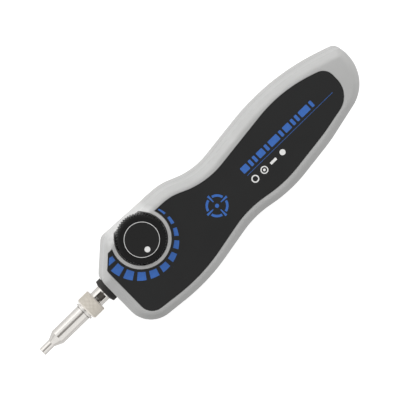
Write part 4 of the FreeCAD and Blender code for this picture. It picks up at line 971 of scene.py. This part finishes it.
# The nut's section and the nosepiece's head, measured from the nut's front face
NUT_FRONT_BORE = 3.10 * MM
NUT_THREAD_BORE = 3.95 * MM
NUT_WALL = 1.25 * MM
NUT_FRONT_CHAMFER = 0.6 * MM
NUT_REAR_CHAMFER = 0.3 * MM
HEAD_RADIUS = 3.85 * MM
HEAD_LENGTH = 2.8 * MM
KEYWAY_HALF = 1.4 * MM
BORE_LIP = 0.1 * MM
BORE_RELIEF = 0.25 * MM
KEYWAY_MARGIN = 0.02
RIDGE_FOOT = 0.48
RIDGE_ROOT = 0.5
RIDGE_START = 0.6
SECTION_STEPS = 56
TURN_STEPS_PER_KNURL = 8
RIDGE_STEPS = 96


class MICROSCOPE_OT_nose(bpy.types.Operator):
    """Finish the plated nose, knurl the coupling nut and cut the thread under it"""

    bl_idname = "microscope.nose"
    bl_label = "Nose"

    def knurled_nut(self):
        """The nut's section carried once round the axis.

        On the knurled band the radius drops by depth (1 - min(w(k a + n x), w(k a - n x))), with w a
        triangle wave: two crossing sets of slanting grooves. In the bore it grows by the thread's depth
        times w(x / pitch + a / turn).
        """
        nose = settings().nose
        band = np.linspace(NUT_FRONT_CHAMFER, NUT_LENGTH - NUT_REAR_CHAMFER, SECTION_STEPS)
        bore = np.linspace(NUT_LENGTH - BORE_LIP, NUT_WALL + BORE_RELIEF, SECTION_STEPS)
        along = np.concatenate([[0.0, 0.0], band, [NUT_LENGTH, NUT_LENGTH], bore, [NUT_WALL, NUT_WALL]])
        radius = np.concatenate([
            [NUT_FRONT_BORE, NUT_RADIUS - NUT_FRONT_CHAMFER], np.full(SECTION_STEPS, NUT_RADIUS),
            [NUT_RADIUS - NUT_REAR_CHAMFER, NUT_THREAD_BORE], np.full(SECTION_STEPS, NUT_THREAD_BORE),
            [NUT_THREAD_BORE, NUT_FRONT_BORE]])
        knurled = np.concatenate([[0, 0], np.ones(SECTION_STEPS), np.zeros(SECTION_STEPS + 4)])
        threaded = np.concatenate([np.zeros(SECTION_STEPS + 4), np.ones(SECTION_STEPS), [0, 0]])
        turn = np.linspace(0, 2 * np.pi, nose.knurls * TURN_STEPS_PER_KNURL, endpoint=False)[:, None]
        tooth = 2 * np.pi * NUT_RADIUS / nose.knurls
        around = nose.knurls * turn / (2 * np.pi)
        diamond = np.minimum(wave(around + along / tooth), wave(around - along / tooth))
        thread = wave(along / nose.thread_pitch + turn / (2 * np.pi))
        radius = radius - knurled * nose.knurl_depth * (1 - diamond) + threaded * nose.thread_depth * thread
        x = np.broadcast_to(NUT_LOW.x + along, radius.shape)
        return loft(around_axis(x, radius, np.broadcast_to(turn, radius.shape)), closed=True)

    def head_thread(self):
        """Ridges of the head's thread: a triangle carried along x = pitch a / turn, open at the keyway."""
        nose = settings().nose
        half_gap = math.asin(KEYWAY_HALF / HEAD_RADIUS) + KEYWAY_MARGIN
        turn = np.linspace(half_gap, 2 * np.pi - half_gap, RIDGE_STEPS)[:, None]
        foot = np.array([-1.0, 0.0, 1.0, 1.0, -1.0]) * RIDGE_FOOT * nose.thread_pitch
        rise = np.array([0.0, 1.0, 0.0, -RIDGE_ROOT, -RIDGE_ROOT])
        radius = np.broadcast_to(HEAD_RADIUS + nose.thread_depth * rise, (RIDGE_STEPS, len(rise)))
        turns = int(HEAD_LENGTH / nose.thread_pitch) - 1
        parts = []
        for i in range(turns):
            x = HEAD_FRONT_X + nose.thread_pitch * (i + RIDGE_START + turn / (2 * np.pi)) + foot
            parts.append(loft(around_axis(x, radius, np.broadcast_to(turn, radius.shape))))
        return parts

    def execute(self, context):
        dress("nickel_plate", "nosepiece", "coupling_nut")
        dress("ring_nickel", "nut_retaining_ring")
        dress("barrel_nickel", "tip_barrel")
        dress("collar_rubber", "nose_collar")
        dress("bush_brass", "nosepiece_locknut")
        nut = piece("knurled_nut", [self.knurled_nut()], "knurled_nickel", "nut")
        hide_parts("coupling_nut")
        thread = piece("head_thread", self.head_thread(), "nickel_plate", "housing")
        return {"FINISHED"}


class MICROSCOPE_OT_optics(bpy.types.Operator):
    """Finish the frame, the sliding carriage and the glass"""

    bl_idname = "microscope.optics"
    bl_label = "Optics"

    def execute(self, context):
        dress("frame_alloy", "optics_frame")
        dress("steel", "guide_rods", "frame_screws")
        dress("slide_plastic", "focus_carriage")
        dress("lens_black", "lens_barrel", "lens_retainer")
        dress("optical_glass", "objective_lens", "relay_lens", "beam_splitter")
        return {"FINISHED"}


class MICROSCOPE_OT_electronics(bpy.types.Operator):
    """Finish the boards, the lamp, the sensor and what joins them"""

    bl_idname = "microscope.electronics"
    bl_label = "Electronics"

    def execute(self, context):
        dress("board_laminate", "main_board", "camera_board", "led_board")
        dress("chip_black", "processor_chip", "image_sensor", "ribbon_connector")
        dress("ribbon_film", "sensor_ribbon")
        dress("lamp_resin", "lamp_led")
        dress("steel", "board_screws")
        return {"FINISHED"}


# The stage: the floor, what reflections show of the studio, the lamps' places in metres, and the camera
FLOOR_HALF = 1.5
FLOOR_Z = -0.2 * MM
FLOOR_GRAIN = 6.0
FLOOR_DARK = (0.71, 0.71, 0.71, 1.0)
FLOOR_LIGHT = (0.73, 0.73, 0.73, 1.0)
SEEN_GLOW = 0.62
MIRRORED_GLOW = 0.12
SENSOR_WIDTH = 36.0
PATCH_CORE = math.radians(11)
PATCH_EDGE = math.radians(20)
PATCH_TONE = (0.22, 0.21, 0.20, 1.0)
WALL_FOOT = math.radians(6)
WALL_TOP = math.radians(26)
WALL_TONE = (0.58, 0.57, 0.56, 1.0)
LAMP_SIZE = 0.6
KEY_PLACE = (-0.25, 0.75, 0.22)
FILL_PLACE = (0.85, 0.10, 0.35)
GLINT_NEARER = 0.98


class MICROSCOPE_OT_stage(bpy.types.Operator):
    """Set the floor, the light and the camera"""

    bl_idname = "microscope.stage"
    bl_label = "Stage"

    def floor(self):
        """A pale floor that shows white to the eye, a little less so in reflections, and keeps the shadow.

        It can't be seen from below, and lets the world's light through, so that the back shows from there.
        """
        material, tree, shader, place = new_finish("floor_paper", Specular_IOR_Level=0.0, Roughness=0.9)
        tone = blend(tree, noise(tree, place, FLOOR_GRAIN), FLOOR_DARK, FLOOR_LIGHT)
        tree.links.new(tone, shader["Base Color"])
        path = tree.nodes.new("ShaderNodeLightPath").outputs
        seen = math_node(tree, "MAXIMUM", path["Is Camera Ray"], path["Is Transmission Ray"])
        mirrored = times(tree, path["Is Glossy Ray"], MIRRORED_GLOW)
        glow = math_node(tree, "ADD", times(tree, seen, SEEN_GLOW), mirrored)
        shader["Emission Color"].default_value = WHITE
        tree.links.new(glow, shader["Emission Strength"])
        below = tree.nodes.new("ShaderNodeNewGeometry").outputs["Backfacing"]
        light = math_node(tree, "MAXIMUM", path["Is Shadow Ray"], path["Is Diffuse Ray"])
        clear = math_node(tree, "MAXIMUM", below, light)
        tree.links.new(math_node(tree, "SUBTRACT", 1.0, clear), shader["Alpha"])
        square = ((-1, -1), (1, -1), (1, 1), (-1, 1))
        corners = [(x * FLOOR_HALF, y * FLOOR_HALF, FLOOR_Z) for x, y in square]
        mesh = bpy.data.meshes.new("floor")
        mesh.from_pydata(corners, [], [(0, 1, 2, 3)])
        mesh.materials.append(material)
        obj = new_object("floor", mesh)

    def world(self, away):
        """White to the eye; reflections also show grey walls and the camera's own dark patch overhead."""
        world = bpy.data.worlds.new("studio")
        bpy.context.scene.world = world
        world.use_nodes = True
        tree = world.node_tree
        tree.nodes.clear()
        path = tree.nodes.new("ShaderNodeLightPath").outputs
        direction = tree.nodes.new("ShaderNodeTexCoord").outputs["Generated"]
        near = add(tree, "ShaderNodeVectorMath", {0: direction, 1: away}, operation="DOT_PRODUCT")
        patch = spread(tree, near.outputs["Value"], math.cos(PATCH_EDGE), math.cos(PATCH_CORE))
        patch = times(tree, patch, path["Is Glossy Ray"])
        height = component(tree, direction, "Z")
        low = spread(tree, height, math.sin(WALL_TOP), math.sin(WALL_FOOT))
        low = times(tree, low, path["Is Glossy Ray"])
        walls = blend(tree, low, WHITE, WALL_TONE)
        shown = blend(tree, patch, walls, PATCH_TONE)
        seen = math_node(tree, "MAXIMUM", path["Is Camera Ray"], path["Is Glossy Ray"])
        seen = math_node(tree, "MAXIMUM", seen, path["Is Transmission Ray"])
        strength = settings().stage.ambient
        ambient = add(tree, "ShaderNodeBackground", {"Color": WHITE, "Strength": strength})
        visible = add(tree, "ShaderNodeBackground", {"Color": shown, "Strength": 1.0})
        mixed = add(tree, "ShaderNodeMixShader", {0: seen, 1: ambient.outputs[0], 2: visible.outputs[0]})
        output = tree.nodes.new("ShaderNodeOutputWorld")
        tree.links.new(mixed.outputs[0], output.inputs["Surface"])

    def lamp(self, name, watts, place, mirrored):
        """A square soft lamp that faces the object, and shows in reflections only if mirrored."""
        light = bpy.data.lights.new(name, "AREA")
        light.energy = watts
        light.size = LAMP_SIZE
        obj = new_object(name, light)
        obj.visible_glossy = mirrored
        turn = (Vector(settings().stage.target) - place).to_track_quat("-Z", "Y")
        obj.matrix_world = Matrix.LocRotScale(place, turn, None)

    def camera(self, away):
        """The camera: its right and up are the object's length and breadth turned in the picture."""
        stage = settings().stage
        along = Vector((1.0, 0.0, 0.0))
        across = away.cross(along)
        right = along * math.cos(stage.turn) - across * math.sin(stage.turn)
        up = along * math.sin(stage.turn) + across * math.cos(stage.turn)
        data = bpy.data.cameras.new("camera")
        data.sensor_fit = "HORIZONTAL"
        data.sensor_width = SENSOR_WIDTH
        data.lens = stage.focal
        place = Vector(stage.target) + away * (stage.width * stage.focal / SENSOR_WIDTH)
        obj = new_object("camera", data)
        turn = Matrix((right, up, away)).transposed()
        obj.matrix_world = Matrix.Translation(place) @ turn.to_4x4()
        bpy.context.scene.camera = obj

    def execute(self, context):
        stage = settings().stage
        away = Vector((0.0, math.sin(stage.tilt), math.cos(stage.tilt)))
        self.floor()
        self.world(away)
        for name, watts, place in (("key", stage.key, KEY_PLACE), ("fill", stage.fill, FILL_PLACE)):
            self.lamp(f"{name}_lamp", watts * (1 - stage.glint), Vector(place), False)
            self.lamp(f"{name}_glint", watts * stage.glint, Vector(place) * GLINT_NEARER, True)
        self.camera(away)
        context.scene.view_settings.view_transform = "Standard"
        return {"FINISHED"}


OPERATORS = (
    MICROSCOPE_OT_housing, MICROSCOPE_OT_overlay, MICROSCOPE_OT_focus_drive, MICROSCOPE_OT_nose,
    MICROSCOPE_OT_optics, MICROSCOPE_OT_electronics, MICROSCOPE_OT_stage)


class MICROSCOPE_PT_parts(bpy.types.Panel):
    """The microscope's pieces and its stage"""

    bl_idname = "MICROSCOPE_PT_parts"
    bl_label = "Fiber inspection microscope"
    bl_space_type = "VIEW_3D"
    bl_region_type = "UI"
    bl_category = "Microscope"

    def draw(self, context):
        for operator in OPERATORS:
            self.layout.operator(operator.bl_idname)


CLASSES = (
    HousingSettings, ScaleSettings, NoseSettings, StageSettings, MicroscopeSettings,
    *OPERATORS, MICROSCOPE_PT_parts)


def register():
    for made in CLASSES:
        bpy.utils.register_class(made)
    bpy.types.Scene.fiber_microscope = bpy.props.PointerProperty(type=MicroscopeSettings)


def unregister():
    del bpy.types.Scene.fiber_microscope
    for made in reversed(CLASSES):
        bpy.utils.unregister_class(made)


def main():
    register()
    for operator in OPERATORS:
        group, name = operator.bl_idname.split(".")
        getattr(getattr(bpy.ops, group), name)()


if __name__ == "__main__":
    main()
